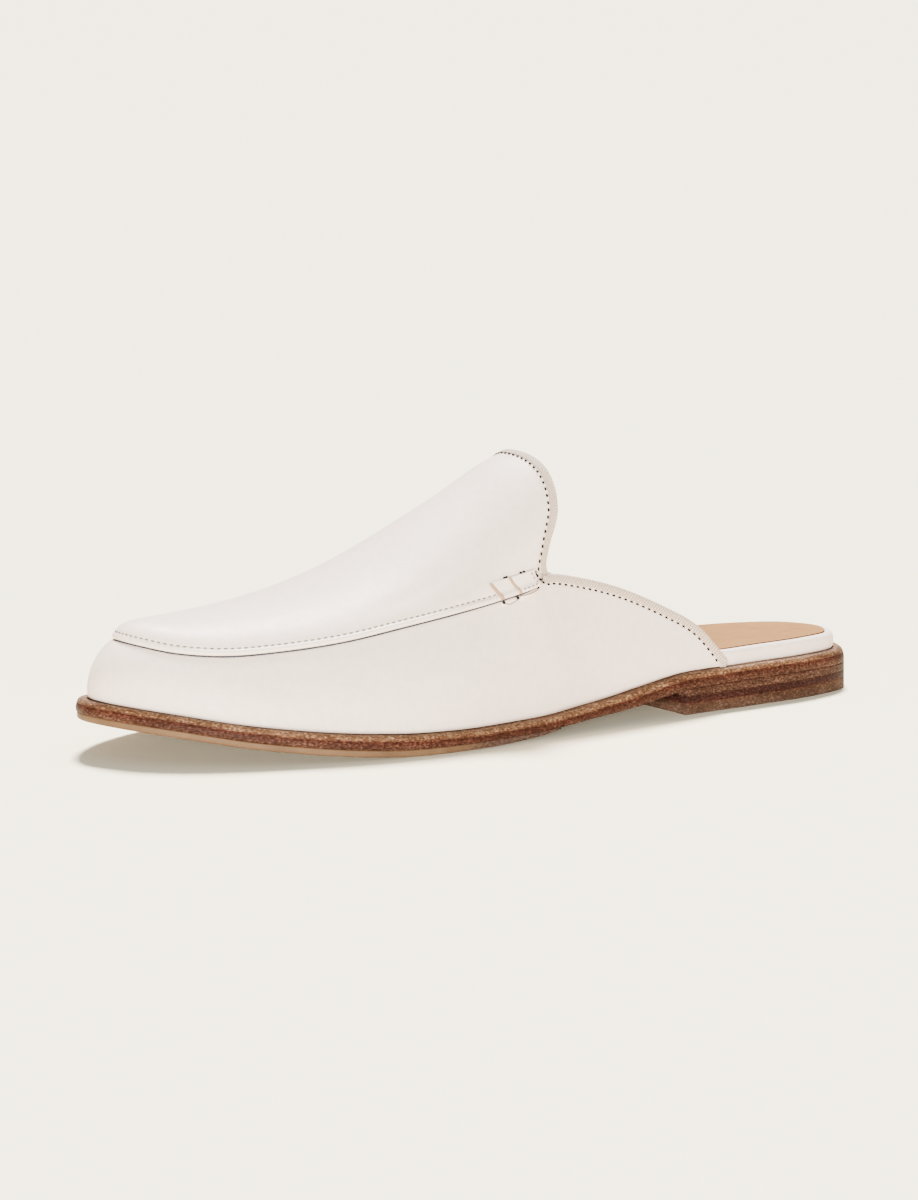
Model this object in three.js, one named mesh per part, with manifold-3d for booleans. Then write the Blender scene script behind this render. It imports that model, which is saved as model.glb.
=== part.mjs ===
// A backless loafer mule for the left foot, in millimetres, +Z up, standing on its sole.
// The toe points to -Y, the outer (little toe) side is +X, and the floor is z = 0.
// "back" is a distance from the back of the heel towards the toe, "side" is a distance
// from the last's own axis towards the outer side, and "up" is a height over the floor.
import * as THREE from "three";
import { mergeVertices } from "three/addons/utils/BufferGeometryUtils.js";
import Module from "manifold-3d";

// ---- Driving dimensions ----
const SOLE_LENGTH = 265.7; // heel back to toe tip of the outsole
const HEEL_BREAST = 77; // where the stacked heel ends under the waist
const HEEL_TOP_LIFT = 3.4; // the rubber lift on the ground
const HEEL_LIFT = 2.0; // the dark leather lift over it; the heel base fills the rest
const TREAD_START = 128; // where the rubber half sole fades out under the waist
const TREAD_INSET = 0.4; // the half sole is trimmed just inside the outsole's edge
const FEATHER_INSET = 3.4; // how far the outsole stands out past the upper
const WALL = 2.0; // vamp leather and lining together
const GAP = 0.3; // air between two pieces that touch in the real shoe
const CLOSE_FIT = 1.3; // room between the upper's inside and the footbed's edge
const WING_START = 59; // where the upper's wings run down into the sole
const TUCK_LENGTH = 6; // the footbed narrows over this length just behind the wings

// ---- The sole's outline, once round: heel back, outer side, toe tip, inner side ----
const OUTLINE = table(["back", "side"], [
  [0, 0], [7, 16.2], [23.8, 23.8], [45.7, 27.4], [78.7, 31.2], [107.6, 35.4],
  [137.5, 42.0], [164.6, 46.6], [188.7, 46.0], [212.7, 40.5], [234.7, 31.5],
  [252.5, 18.3], [262.3, 5.0],
  [SOLE_LENGTH, -6.2],
  [262.4, -17.6], [251.1, -30.5], [233.2, -40.6], [208.2, -46.6], [183.2, -46.0],
  [153.2, -38.7], [123.2, -31.0], [98.2, -28.7], [73.2, -28.5], [45.7, -27.5],
  [23.7, -24.7], [7, -16.5],
]);

// ---- Heights along the shoe: the outsole's upper edge, its leather, the footbed on it ----
const PROFILE = table(["back", "edge", "leather", "footbed"], [
  [0, 12.8, 4.6, 5.0],
  [38, 13.0, 4.6, 5.0],
  [72, 12.6, 4.6, 4.9],
  [94, 9.9, 4.7, 4.5],
  [105, 8.3, 4.2, 4.3],
  [116, 7.2, 3.8, 4.2],
  [136, 5.8, 3.6, 4.0],
  [158, 5.7, 3.6, 3.8],
  [178, 6.1, 4.0, 3.8],
  [190, 6.8, 4.3, 3.8],
  [204, 8.0, 4.3, 3.6],
  [229, 11.3, 4.3, 3.5],
  [249, 15.0, 4.3, 3.4],
  [SOLE_LENGTH, 17.7, 4.3, 3.2],
]);

// ---- The half sole's thickness, from its feathered back edge to the toe ----
const TREAD = table(["back", "thick"], [
  [TREAD_START, 0.7],
  [140, 1.6],
  [158, 1.8],
  [SOLE_LENGTH, 1.8],
]);

// ---- Top edge of the skirt: topline of both wings, then the apron seam to the toe ----
// flare: how far the skirt leans out over its foot; slope: its angle at the top edge.
const TOP_EDGE = table(
  ["outerBack", "outerSide", "outerUp", "innerBack", "innerSide", "innerUp", "flare", "slope"],
  [
    [59.0, 26.0, 14.7, 58.8, -24.9, 14.5, 0.0, 85],
    [62.1, 25.7, 18.8, 62.1, -24.8, 20.0, 0.2, 82],
    [69.3, 24.8, 26.4, 69.0, -24.5, 27.6, 0.4, 80],
    [81.1, 24.4, 33.1, 84.8, -23.2, 35.8, 0.6, 78],
    [96.6, 24.4, 40.0, 95.0, -22.8, 39.8, 0.8, 76],
    [112.4, 25.2, 44.7, 106.5, -22.6, 45.3, 0.9, 74],
    [125.0, 26.6, 46.7, 117.7, -22.8, 50.8, 1.0, 72],
    [131.0, 28.6, 42.3, 126.7, -23.2, 45.4, 1.0, 70],
    [142.7, 30.4, 39.9, 140.7, -24.4, 41.2, 1.2, 66],
    [159.7, 32.3, 38.3, 159.7, -27.8, 38.8, 1.3, 60],
    [177.7, 32.7, 36.2, 177.7, -31.4, 36.6, 1.3, 54],
    [197.7, 30.5, 33.4, 197.7, -33.7, 33.9, 1.1, 48],
    [215.7, 25.4, 31.5, 215.7, -32.0, 32.1, 0.9, 42],
    [231.7, 19.6, 30.8, 231.7, -29.0, 31.5, 0.7, 36],
    [243.7, 11.6, 31.6, 243.7, -22.6, 32.2, 0.5, 32],
    [250.7, 2.2, 33.3, 250.7, -14.8, 33.4, 0.4, 30],
    [252.7, -6.3, 34.3, 252.7, -6.3, 34.3, 0.4, 30],
  ],
);
const NOTCH_ROW = 6; // the wings end here and the tongue's free edge begins

// ---- Crown line of the apron: where each rib of it ends, from the tongue to the toe ----
// spring and lead: how far the apron's edge rises and leans in; lag: how the tongue's sides
// hang back; breadth: how near the crown line the rib flattens out, 0 at the seam, 1 at it.
const CROWN = table(["back", "side", "up", "spring", "lead", "lag", "breadth"], [
  [118.3, -1.5, 81.8, 25.0, 0.0, 8.8, 0.28],
  [127.6, -2.4, 78.6, 19.5, 0.6, 5.0, 0.36],
  [142.2, -3.4, 70.7, 14.0, 2.2, 1.0, 0.46],
  [159.7, -4.4, 61.4, 11.0, 4.0, 0, 0.5],
  [177.7, -5.0, 52.2, 8.5, 5.0, 0, 0.5],
  [196.7, -5.4, 44.8, 7.4, 4.6, 0, 0.5],
  [212.7, -5.7, 41.6, 6.8, 3.6, 0, 0.5],
  [224.7, -6.0, 40.2, 6.6, 2.4, 0, 0.5],
  [230.7, -6.1, 39.8, 6.6, 1.4, 0, 0.5],
  [231.7, -6.2, 39.7, 6.6, 0.8, 0, 0.5],
  [231.7, -6.2, 39.7, 6.6, 0.6, 0, 0.5],
]);
const FAN_ROW = 12; // from here to the toe the ribs fan out from the crown line's end
const CROWN_SLOPE = 0.09; // fall of the crown line towards the toe, near the toe

// ---- The elastic gore: a V in the inner wing, open at the topline ----
const GORE = {
  apex: { back: 113.7, up: 23.5 },
  low: { back: 68.3, up: 27.8 },
  high: { back: 85.2, up: 36.2 },
  reach: 1.5, // the V's sides run on past the topline by this ratio
  tipGap: 1.8, // set-back of the elastic's own tip, for an even gap along its sides
  clearOfAxis: 5, // the wedge that cuts it starts this far inside the last's own axis
};

// ---- How finely the surfaces are faceted ----
const OUTLINE_STEPS = 26; // points between two rows of the outline
const SLAB_STEPS = 40; // sections along a sole piece
const STEPS_PER_ROW = 3; // skirt sections between two rows of the top edge
const SKIRT_LEVELS = 6; // facets from the feather edge up to the top edge
const APRON_LEVELS = 7; // facets from the seam in to the crown line
const EDGE_CROWDING = 1.3; // draws an apron rib's facets towards its curved edge
const POINTED = 1e-3; // a sole section narrower than this comes to a point

// Turns rows of numbers into objects with named columns.
function table(columns, rows) {
  return rows.map((row) => Object.fromEntries(columns.map((name, i) => [name, row[i]])));
}

// A smooth curve through one column of a table that never overshoots its rows.
function graph(rows, key, column) {
  const at = rows.map((row) => row[key]);
  const value = rows.map((row) => row[column]);
  const last = rows.length - 1;
  const secant = at.slice(1).map((x, i) => (value[i + 1] - value[i]) / (x - at[i]));
  const slope = value.map((_, i) => {
    if (i === 0) return secant[0];
    if (i === last) return secant[last - 1];
    const before = secant[i - 1];
    const after = secant[i];
    return before * after <= 0 ? 0 : (2 * before * after) / (before + after);
  });
  return (x) => {
    let i = 0;
    while (i < last - 1 && x > at[i + 1]) i += 1;
    const span = at[i + 1] - at[i];
    const t = THREE.MathUtils.clamp((x - at[i]) / span, 0, 1);
    const t2 = t * t;
    const t3 = t2 * t;
    return value[i] * (2 * t3 - 3 * t2 + 1) + value[i + 1] * (3 * t2 - 2 * t3)
      + span * (slope[i] * (t3 - 2 * t2 + t) + slope[i + 1] * (t3 - t2));
  };
}

const edgeHeight = graph(PROFILE, "back", "edge");
const leather = graph(PROFILE, "back", "leather");
const footbedHeight = graph(PROFILE, "back", "footbed");
const treadThickness = graph(TREAD, "back", "thick");

// A smooth curve through points given as {back, side, up}.
function smoothCurve(points, closed) {
  const knots = points.map((p) => new THREE.Vector3(p.side, p.back, p.up ?? 0));
  return new THREE.CatmullRomCurve3(knots, closed, "centripetal");
}

// The sole's outline moved inwards; inset is a number or a function of back.
class Outline {
  constructor(inset) {
    const count = OUTLINE.length * OUTLINE_STEPS;
    const curve = smoothCurve(OUTLINE, true);
    const ring = Array.from({ length: count }, (_, i) => curve.getPoint(i / count));
    const insetAt = typeof inset === "function" ? inset : () => inset;
    this.points = ring.map((point, i) => {
      const ahead = ring[(i + 1) % count];
      const behind = ring[(i + count - 1) % count];
      const outward = new THREE.Vector2(ahead.y - behind.y, behind.x - ahead.x).normalize();
      const distance = insetAt(point.y);
      return new THREE.Vector2(point.x - outward.x * distance, point.y - outward.y * distance);
    });
    this.toe = this.points.reduce((best, p, i, all) => (p.y > all[best].y ? i : best), 0);
    this.outer = this.points.slice(0, this.toe + 1);
    this.inner = [...this.points.slice(this.toe), this.points[0]].reverse();
    this.back = this.points[0].y;
    this.front = this.points[this.toe].y;
  }

  // Where the outline's outer or inner half crosses a station.
  sideAt(half, back) {
    const i = Math.max(half.findIndex((p) => p.y >= back), 1);
    const a = half[i - 1];
    const b = half[i];
    const t = THREE.MathUtils.clamp((back - a.y) / (b.y - a.y || 1), 0, 1);
    return a.x + (b.x - a.x) * t;
  }

  // The outline's nearest point to a plan position, searched between its samples.
  nearest(side, back) {
    const target = new THREE.Vector2(side, back);
    let best = { distance: Infinity };
    this.points.forEach((a, i) => {
      const b = this.points[(i + 1) % this.points.length];
      const along = b.clone().sub(a);
      const t = THREE.MathUtils.clamp(target.clone().sub(a).dot(along) / along.lengthSq(), 0, 1);
      const point = a.clone().addScaledVector(along, t);
      const distance = point.distanceTo(target);
      if (distance < best.distance) best = { distance, point, along };
    });
    return best;
  }
}

const soleOutline = new Outline(0);
const featherLine = new Outline(FEATHER_INSET);
const sideways = soleOutline.points.map((p) => p.x);
const MIDDLE = (Math.max(...sideways) + Math.min(...sideways)) / 2;

// Last coordinates to the part's own frame.
function place(side, back, up) {
  return [side - MIDDLE, SOLE_LENGTH / 2 - back, up];
}

// Collects faces over shared corners, and turns them into a closed geometry.
class Shell {
  constructor() {
    this.corners = [];
    this.faces = [];
  }

  corner(side, back, up) {
    this.corners.push(place(side, back, up));
    return this.corners.length - 1;
  }

  face(a, b, c) {
    if (a !== b && b !== c && c !== a) this.faces.push([a, b, c]);
  }

  quad(a, b, c, d) {
    this.face(a, b, c);
    this.face(a, c, d);
  }

  geometry() {
    const geometry = new THREE.BufferGeometry();
    geometry.setAttribute("position", new THREE.Float32BufferAttribute(this.corners.flat(), 3));
    const [a, b, c] = [new THREE.Vector3(), new THREE.Vector3(), new THREE.Vector3()];
    let volume = 0;
    this.faces.forEach(([i, j, k]) => {
      a.fromArray(this.corners[i]);
      b.fromArray(this.corners[j]);
      c.fromArray(this.corners[k]);
      volume += a.dot(b.cross(c));
    });
    const turned = volume < 0 ? this.faces.map(([i, j, k]) => [i, k, j]) : this.faces;
    geometry.setIndex(turned.flat());
    return geometry;
  }
}

// A sole piece: the outline between two stations, between a lower and an upper surface.
function slab(outline, from, to, lower, upper) {
  const shell = new Shell();
  const start = Math.max(from, outline.back);
  const end = Math.min(to, outline.front);
  let previous = null;
  for (let i = 0; i <= SLAB_STEPS; i += 1) {
    const back = start + ((end - start) * (1 - Math.cos((Math.PI * i) / SLAB_STEPS))) / 2;
    const sides = [outline.sideAt(outline.outer, back), outline.sideAt(outline.inner, back)];
    const pointed = sides[0] - sides[1] < POINTED;
    const column = (side) => [lower, upper].map((up) => shell.corner(side, back, up(back)));
    const outer = column(sides[0]);
    const inner = pointed ? outer : column(sides[1]);
    const ring = [outer[0], outer[1], inner[1], inner[0]];
    if (previous) {
      ring.forEach((corner, k) => {
        const next = (k + 1) % 4;
        shell.quad(previous[k], corner, ring[next], previous[next]);
      });
    } else {
      shell.quad(ring[0], ring[1], ring[2], ring[3]);
    }
    previous = ring;
  }
  shell.quad(previous[3], previous[2], previous[1], previous[0]);
  return shell.geometry();
}

const outsoleBottom = (back) => edgeHeight(back) - leather(back);

function outsole() {
  return slab(soleOutline, 0, SOLE_LENGTH, outsoleBottom, edgeHeight);
}

function heelTopLift() {
  return slab(soleOutline, 0, HEEL_BREAST, () => 0, () => HEEL_TOP_LIFT);
}

function heelLift() {
  const bottom = HEEL_TOP_LIFT + GAP;
  return slab(soleOutline, 0, HEEL_BREAST, () => bottom, () => bottom + HEEL_LIFT);
}

function heelBase() {
  const bottom = HEEL_TOP_LIFT + HEEL_LIFT + 2 * GAP;
  return slab(soleOutline, 0, HEEL_BREAST, () => bottom, (back) => outsoleBottom(back) - GAP);
}

function halfSole() {
  const top = (back) => outsoleBottom(back) - GAP;
  const bottom = (back) => Math.max(top(back) - treadThickness(back), 0);
  return slab(new Outline(TREAD_INSET), TREAD_START, SOLE_LENGTH, bottom, top);
}

// The footbed shows whole at the heel, and slips inside the upper from the wings on.
function footbed() {
  const inside = FEATHER_INSET + WALL + CLOSE_FIT;
  const inset = (back) => THREE.MathUtils.lerp(
    FEATHER_INSET,
    inside,
    THREE.MathUtils.smoothstep(back, WING_START - GAP - TUCK_LENGTH, WING_START - GAP),
  );
  const bottom = (back) => edgeHeight(back) + GAP;
  const top = (back) => bottom(back) + footbedHeight(back);
  return slab(new Outline(inset), 0, SOLE_LENGTH, bottom, top);
}

// Point on a cubic curve with four controls.
function bezier(controls, t) {
  const [a, b, c, d] = controls;
  const s = 1 - t;
  return new THREE.Vector3()
    .addScaledVector(a, s * s * s)
    .addScaledVector(b, 3 * s * s * t)
    .addScaledVector(c, 3 * s * t * t)
    .addScaledVector(d, t * t * t);
}

const rowCount = TOP_EDGE.length;
const sideColumns = (rowCount - 1) * STEPS_PER_ROW; // columns from a wing's end to the toe
const lastColumn = 2 * sideColumns;
const notchColumn = NOTCH_ROW * STEPS_PER_ROW;
const topEdgeCurve = smoothCurve([
  ...TOP_EDGE.map((row) => ({ side: row.outerSide, back: row.outerBack, up: row.outerUp })),
  ...TOP_EDGE.slice(0, -1).reverse()
    .map((row) => ({ side: row.innerSide, back: row.innerBack, up: row.innerUp })),
], false);
const crownCurve = smoothCurve(CROWN, false);
const rows = TOP_EDGE.map((row, i) => ({ ...row, row: i }));
const flareAt = graph(rows, "row", "flare");
const slopeAt = graph(rows, "row", "slope");
const crownRows = CROWN.map((row, i) => ({ ...row, row: i + NOTCH_ROW }));
const springAt = graph(crownRows, "row", "spring");
const leadAt = graph(crownRows, "row", "lead");
const lagAt = graph(crownRows, "row", "lag");
const breadthAt = graph(crownRows, "row", "breadth");

// The row number, with fractions, that a skirt column stands for on its own side.
function rowOf(column) {
  return Math.min(column, lastColumn - column) / STEPS_PER_ROW;
}

// Points of one skirt section, from its foot on the feather line up to the top edge.
function skirtSection(column) {
  const top = topEdgeCurve.getPoint(column / lastColumn);
  const foot = featherLine.nearest(top.x, top.y);
  const inward = new THREE.Vector3(-foot.along.y, foot.along.x, 0).normalize();
  const start = new THREE.Vector3(foot.point.x, foot.point.y, edgeHeight(foot.point.y) + GAP);
  const reach = 0.36 * start.distanceTo(top);
  const row = rowOf(column);
  const slope = THREE.MathUtils.degToRad(slopeAt(row));
  const lift = new THREE.Vector3(0, 0, reach);
  const lean = inward.clone().multiplyScalar(Math.cos(slope) * reach);
  const controls = [
    start,
    start.clone().add(lift).addScaledVector(inward, -flareAt(row)),
    top.clone().sub(lean).addScaledVector(lift, -Math.sin(slope)),
    top,
  ];
  return Array.from({ length: SKIRT_LEVELS + 1 }, (_, i) => bezier(controls, i / SKIRT_LEVELS));
}

// Points of one apron rib, from its edge on the seam in to the crown line.
function apronRib(column) {
  const edge = topEdgeCurve.getPoint(column / lastColumn);
  const row = rowOf(column);
  const crown = crownCurve.getPoint((row - NOTCH_ROW) / (CROWN.length - 1));
  const inward = crown.clone().sub(edge).setZ(0).normalize();
  const rise = new THREE.Vector3(0, -lagAt(row), springAt(row)).addScaledVector(inward, leadAt(row));
  const flat = edge.clone().lerp(crown, breadthAt(row));
  if (row < FAN_ROW) flat.y = crown.y;
  flat.z = crown.z - CROWN_SLOPE * Math.max(flat.y - crown.y, 0);
  const controls = [edge, edge.clone().add(rise), flat, crown];
  const along = (i) => (i / APRON_LEVELS) ** EDGE_CROWDING;
  return Array.from({ length: APRON_LEVELS + 1 }, (_, i) => bezier(controls, along(i)));
}

// The upper as one hollow solid: its outside, the same surface moved in, and the rim between.
function upper() {
  const outside = new Shell();
  const add = (point) => outside.corner(point.x, point.y, point.z);
  const skirt = [];
  for (let column = 0; column <= lastColumn; column += 1) {
    skirt.push(skirtSection(column).map(add));
  }
  const crown = new Map();
  const apron = [];
  for (let column = notchColumn; column <= lastColumn - notchColumn; column += 1) {
    const rib = apronRib(column);
    const top = rib.pop();
    const key = top.toArray().map((v) => v.toFixed(3)).join();
    if (!crown.has(key)) crown.set(key, add(top));
    apron[column] = [skirt[column].at(-1), ...rib.slice(1).map(add), crown.get(key)];
  }
  for (let column = 0; column < lastColumn; column += 1) {
    for (let level = 0; level < SKIRT_LEVELS; level += 1) {
      const [here, next] = [skirt[column], skirt[column + 1]];
      outside.quad(here[level], here[level + 1], next[level + 1], next[level]);
    }
    if (apron[column] && apron[column + 1]) {
      for (let level = 0; level < APRON_LEVELS; level += 1) {
        const [here, next] = [apron[column], apron[column + 1]];
        outside.quad(here[level], here[level + 1], next[level + 1], next[level]);
      }
    }
  }
  const topEdge = (from, to) => skirt.slice(from, to + 1).map((section) => section.at(-1));
  const rim = [
    ...skirt.map((section) => section[0]),
    ...skirt.at(-1).slice(1, -1),
    ...topEdge(lastColumn - notchColumn, lastColumn).reverse(),
    ...apron[lastColumn - notchColumn].slice(1),
    ...apron[notchColumn].slice(1, -1).reverse(),
    ...topEdge(0, notchColumn).reverse(),
    ...skirt[0].slice(1, -1).reverse(),
  ];
  return thicken(outside, rim);
}

// Gives a surface a wall: a copy of it moved in along its corner normals, joined at the rim.
function thicken(surface, rim) {
  const normals = surface.corners.map(() => new THREE.Vector3());
  const corner = (i) => new THREE.Vector3(...surface.corners[i]);
  surface.faces.forEach(([i, j, k]) => {
    const a = corner(i);
    const cross = corner(j).sub(a).cross(corner(k).sub(a));
    [i, j, k].forEach((n) => normals[n].add(cross));
  });
  const outwards = Math.sign(corner(rim[0]).setZ(0).dot(normals[rim[0]]));
  const count = surface.corners.length;
  const wall = new Shell();
  const inside = surface.corners.map((point, i) => {
    const shift = normals[i].normalize().multiplyScalar(-outwards * WALL);
    return new THREE.Vector3(...point).add(shift).toArray();
  });
  rim.slice(0, lastColumn + 1).forEach((i) => {
    inside[i][2] = surface.corners[i][2];
  });
  wall.corners = [...surface.corners, ...inside];
  surface.faces.forEach(([i, j, k]) => {
    wall.face(i, j, k);
    wall.face(i + count, k + count, j + count);
  });
  rim.forEach((here, i) => {
    const next = rim[(i + 1) % rim.length];
    wall.quad(here, next, next + count, here + count);
  });
  return wall.geometry();
}

const wasm = await Module();
wasm.setup();

// A closed geometry as a manifold-3d solid, and back.
function solid(geometry) {
  const bare = geometry.clone();
  bare.deleteAttribute("normal");
  bare.deleteAttribute("uv");
  const merged = mergeVertices(bare, 1e-4);
  return new wasm.Manifold(new wasm.Mesh({
    numProp: 3,
    vertProperties: Float32Array.from(merged.attributes.position.array),
    triVerts: Uint32Array.from(merged.index.array),
  }));
}

function geometryOf(manifold) {
  const mesh = manifold.getMesh();
  const geometry = new THREE.BufferGeometry();
  geometry.setAttribute("position", new THREE.BufferAttribute(mesh.vertProperties, 3));
  geometry.setIndex(new THREE.BufferAttribute(mesh.triVerts, 1));
  return geometry;
}

// The gore's V as a wedge that passes through the inner wing; setBack moves its tip back.
function wedge(setBack) {
  const { apex, low, high, reach, clearOfAxis } = GORE;
  const mouth = { back: (low.back + high.back) / 2, up: (low.up + high.up) / 2 };
  const length = Math.hypot(apex.back - mouth.back, apex.up - mouth.up);
  const slide = (point, distance) => new THREE.Vector2(
    SOLE_LENGTH / 2 - point.back - (distance * (mouth.back - apex.back)) / length,
    point.up + (distance * (mouth.up - apex.up)) / length,
  );
  const past = (corner) => ({
    back: apex.back + (corner.back - apex.back) * reach,
    up: apex.up + (corner.up - apex.up) * reach,
  });
  const shape = new THREE.Shape([apex, past(low), past(high)].map((point) => slide(point, setBack)));
  const depth = Math.max(...sideways);
  const prism = new THREE.ExtrudeGeometry(shape, { depth, bevelEnabled: false });
  prism.applyMatrix4(new THREE.Matrix4().set(0, 0, 1, 0, 1, 0, 0, 0, 0, 1, 0, 0, 0, 0, 0, 1));
  prism.translate(-clearOfAxis - depth, 0, 0);
  return solid(prism);
}

const wholeUpper = solid(upper());
const upperWithoutGore = geometryOf(wholeUpper.subtract(wedge(0)));
const elasticGore = geometryOf(wholeUpper.intersect(wedge(GORE.tipGap)));

// ---- The pieces, each with its own material ----
const shoe = new THREE.Group();

function addPiece(name, geometry, color, roughness) {
  const material = new THREE.MeshStandardMaterial({ color, roughness, metalness: 0 });
  const piece = new THREE.Mesh(geometry, material);
  piece.name = name;
  shoe.add(piece);
}

addPiece("outsole", outsole(), 0x8a5638, 0.6);
addPiece("half_sole", halfSole(), 0xa88159, 0.8);
addPiece("heel_base", heelBase(), 0x8a5638, 0.6);
addPiece("heel_lift", heelLift(), 0x5a3526, 0.6);
addPiece("heel_top_lift", heelTopLift(), 0x87684f, 0.8);
addPiece("footbed", footbed(), 0xe6e0d8, 0.55);
addPiece("upper", upperWithoutGore, 0xe9e3dc, 0.5);
addPiece("elastic_gore", elasticGore, 0xc8bcae, 0.9);

export default shoe;
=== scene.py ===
# %% [markdown]
# # A backless loafer mule for the left foot
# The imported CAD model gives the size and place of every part. Here each plain solid is
# replaced by a detailed piece in the same place: the leather that is cut, folded and sewn,
# the tape that binds its edge, and the layers of the sole. The whole shoe is laid out from
# a few tables of sizes, like those of the CAD model, in millimetres. Only `place` turns them
# into metres in the model's own frame.

import bmesh
import bpy
import numpy as np
from mathutils import Matrix, Vector
from mathutils.bvhtree import BVHTree


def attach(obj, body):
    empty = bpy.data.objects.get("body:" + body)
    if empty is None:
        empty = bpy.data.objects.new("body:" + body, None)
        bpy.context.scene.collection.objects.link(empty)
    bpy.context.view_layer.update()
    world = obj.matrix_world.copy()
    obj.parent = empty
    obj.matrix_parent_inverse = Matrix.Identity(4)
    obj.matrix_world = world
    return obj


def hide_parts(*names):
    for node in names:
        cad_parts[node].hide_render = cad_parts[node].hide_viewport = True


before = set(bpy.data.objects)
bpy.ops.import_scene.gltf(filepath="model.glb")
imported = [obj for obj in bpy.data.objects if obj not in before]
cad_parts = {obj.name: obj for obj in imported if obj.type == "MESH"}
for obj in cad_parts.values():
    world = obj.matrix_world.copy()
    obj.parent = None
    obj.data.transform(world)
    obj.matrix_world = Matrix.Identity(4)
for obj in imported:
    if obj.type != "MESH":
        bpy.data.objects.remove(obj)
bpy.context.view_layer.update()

print("CAD nodes:", sorted(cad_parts))

# %% [markdown]
# ## Sizes
# A last has no straight lines, so its sizes are tables: the outline of the sole seen from
# above, its heights along the length, the line of the topline and apron seam, and the crown
# of the apron. "back" is the distance from the back of the heel, "side" goes to the outer
# side, and "up" is the height over the floor.

# %% Tables of sizes, in millimetres
SOLE_LENGTH = 265.7
HEEL_BREAST = 77.0  # where the heel's flat front face stands
HEEL_TOP_LIFT = 3.55
HEEL_LIFT = 2.3
TREAD_START = 128.0  # where the half sole begins under the waist
FEATHER_INSET = 3.4  # from the sole's edge to the crease where the upper meets it
CAD_GAP = 0.3  # between neighbouring solids
WING_START = 59.0  # where the upper's wings begin, ahead of the open heel

OUTLINE = np.array([  # back, side
    (0, 0), (7, 16.2), (23.8, 23.8), (45.7, 27.4), (78.7, 31.2), (107.6, 35.4),
    (137.5, 42.0), (164.6, 46.6), (188.7, 46.0), (212.7, 40.5), (234.7, 31.5),
    (252.5, 18.3), (262.3, 5.0), (265.7, -6.2), (262.4, -17.6), (251.1, -30.5),
    (233.2, -40.6), (208.2, -46.6), (183.2, -46.0), (153.2, -38.7), (123.2, -31.0),
    (98.2, -28.7), (73.2, -28.5), (45.7, -27.5), (23.7, -24.7), (7, -16.5),
])
PROFILE = np.array([  # back, height of the outsole's edge, its leather, the footbed
    (0, 12.8, 4.6, 5.0), (38, 13.0, 4.6, 5.0), (72, 12.6, 4.6, 4.9), (94, 9.9, 4.7, 4.5),
    (105, 8.3, 4.2, 4.3), (116, 7.2, 3.8, 4.2), (136, 5.8, 3.6, 4.0), (158, 5.7, 3.6, 3.8),
    (178, 6.1, 4.0, 3.8), (190, 6.8, 4.3, 3.8), (204, 8.0, 4.3, 3.6), (229, 11.3, 4.3, 3.5),
    (249, 15.0, 4.3, 3.4), (265.7, 17.7, 4.3, 3.2),
])
TREAD = np.array([  # back, thickness of the half sole
    (TREAD_START, 0.3), (134, 0.85), (143, 1.4), (158, 1.8), (SOLE_LENGTH, 1.8),
])
TOP_EDGE = np.array([  # outer back, side, up; inner back, side, up; flare; slope
    (59.0, 26.0, 14.7, 58.8, -24.9, 14.5, 0.0, 85),
    (62.1, 25.7, 18.8, 62.1, -24.8, 20.0, 0.2, 82),
    (69.3, 24.8, 26.4, 69.0, -24.5, 27.6, 0.4, 80),
    (81.1, 24.4, 33.1, 84.8, -23.2, 35.8, 0.6, 78),
    (96.6, 24.4, 40.0, 95.0, -22.8, 39.8, 0.8, 76),
    (112.4, 25.2, 44.7, 106.5, -22.6, 45.3, 0.9, 74),
    (125.0, 26.6, 46.7, 117.7, -22.8, 50.8, 1.0, 72),
    (130.6, 28.5, 44.1, 126.7, -23.1, 46.9, 1.0, 70),
    (142.6, 30.1, 41.6, 140.6, -24.1, 42.9, 1.2, 66),
    (159.7, 32.0, 39.2, 159.7, -27.5, 39.7, 1.3, 60),
    (177.7, 32.3, 36.8, 177.7, -31.0, 37.2, 1.3, 54),
    (197.7, 30.2, 33.8, 197.7, -33.4, 34.3, 1.1, 48),
    (215.7, 25.1, 31.9, 215.7, -31.8, 32.5, 0.9, 42),
    (231.7, 19.4, 31.2, 231.7, -28.8, 31.9, 0.7, 36),
    (243.6, 11.5, 32.1, 243.6, -22.5, 32.7, 0.5, 32),
    (250.6, 2.2, 33.7, 250.6, -14.8, 33.8, 0.4, 30),
    (252.7, -6.3, 34.3, 252.7, -6.3, 34.3, 0.4, 30),
])
CROWN = np.array([  # back, side, up; spring; lead; lag; breadth
    (118.3, -1.5, 81.8, 25.0, 0.0, 8.8, 0.28), (127.6, -2.4, 78.6, 19.5, 0.6, 5.0, 0.36),
    (142.2, -3.4, 70.7, 14.0, 2.2, 1.0, 0.46), (159.7, -4.4, 61.4, 11.0, 4.0, 0, 0.5),
    (177.7, -5.0, 52.2, 8.5, 5.0, 0, 0.5), (196.7, -5.4, 44.8, 7.4, 4.6, 0, 0.5),
    (212.7, -5.7, 41.6, 6.8, 3.6, 0, 0.5), (224.7, -6.0, 40.2, 6.6, 2.4, 0, 0.5),
    (230.7, -6.1, 39.8, 6.6, 1.4, 0, 0.5), (231.7, -6.2, 39.7, 6.6, 0.8, 0, 0.5),
    (231.7, -6.2, 39.7, 6.6, 0.6, 0, 0.5),
])
NOTCH_ROW = 6  # the wings end at this row, and the tongue's free edge begins
FAN_ROW = 12  # from here to the toe the ribs fan out from the crown line's end
CROWN_SLOPE = 0.09
GORE_APEX, GORE_LOW, GORE_HIGH = (113.7, 23.5), (68.3, 27.8), (85.2, 36.2)  # back, up

# %% [markdown]
# ## Smooth lines through the sizes
# Two kinds of line are enough. `smooth_curve` runs through points in space as a bent
# lath would, and `graph` reads a height off a chart without ever overshooting its rows.

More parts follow.
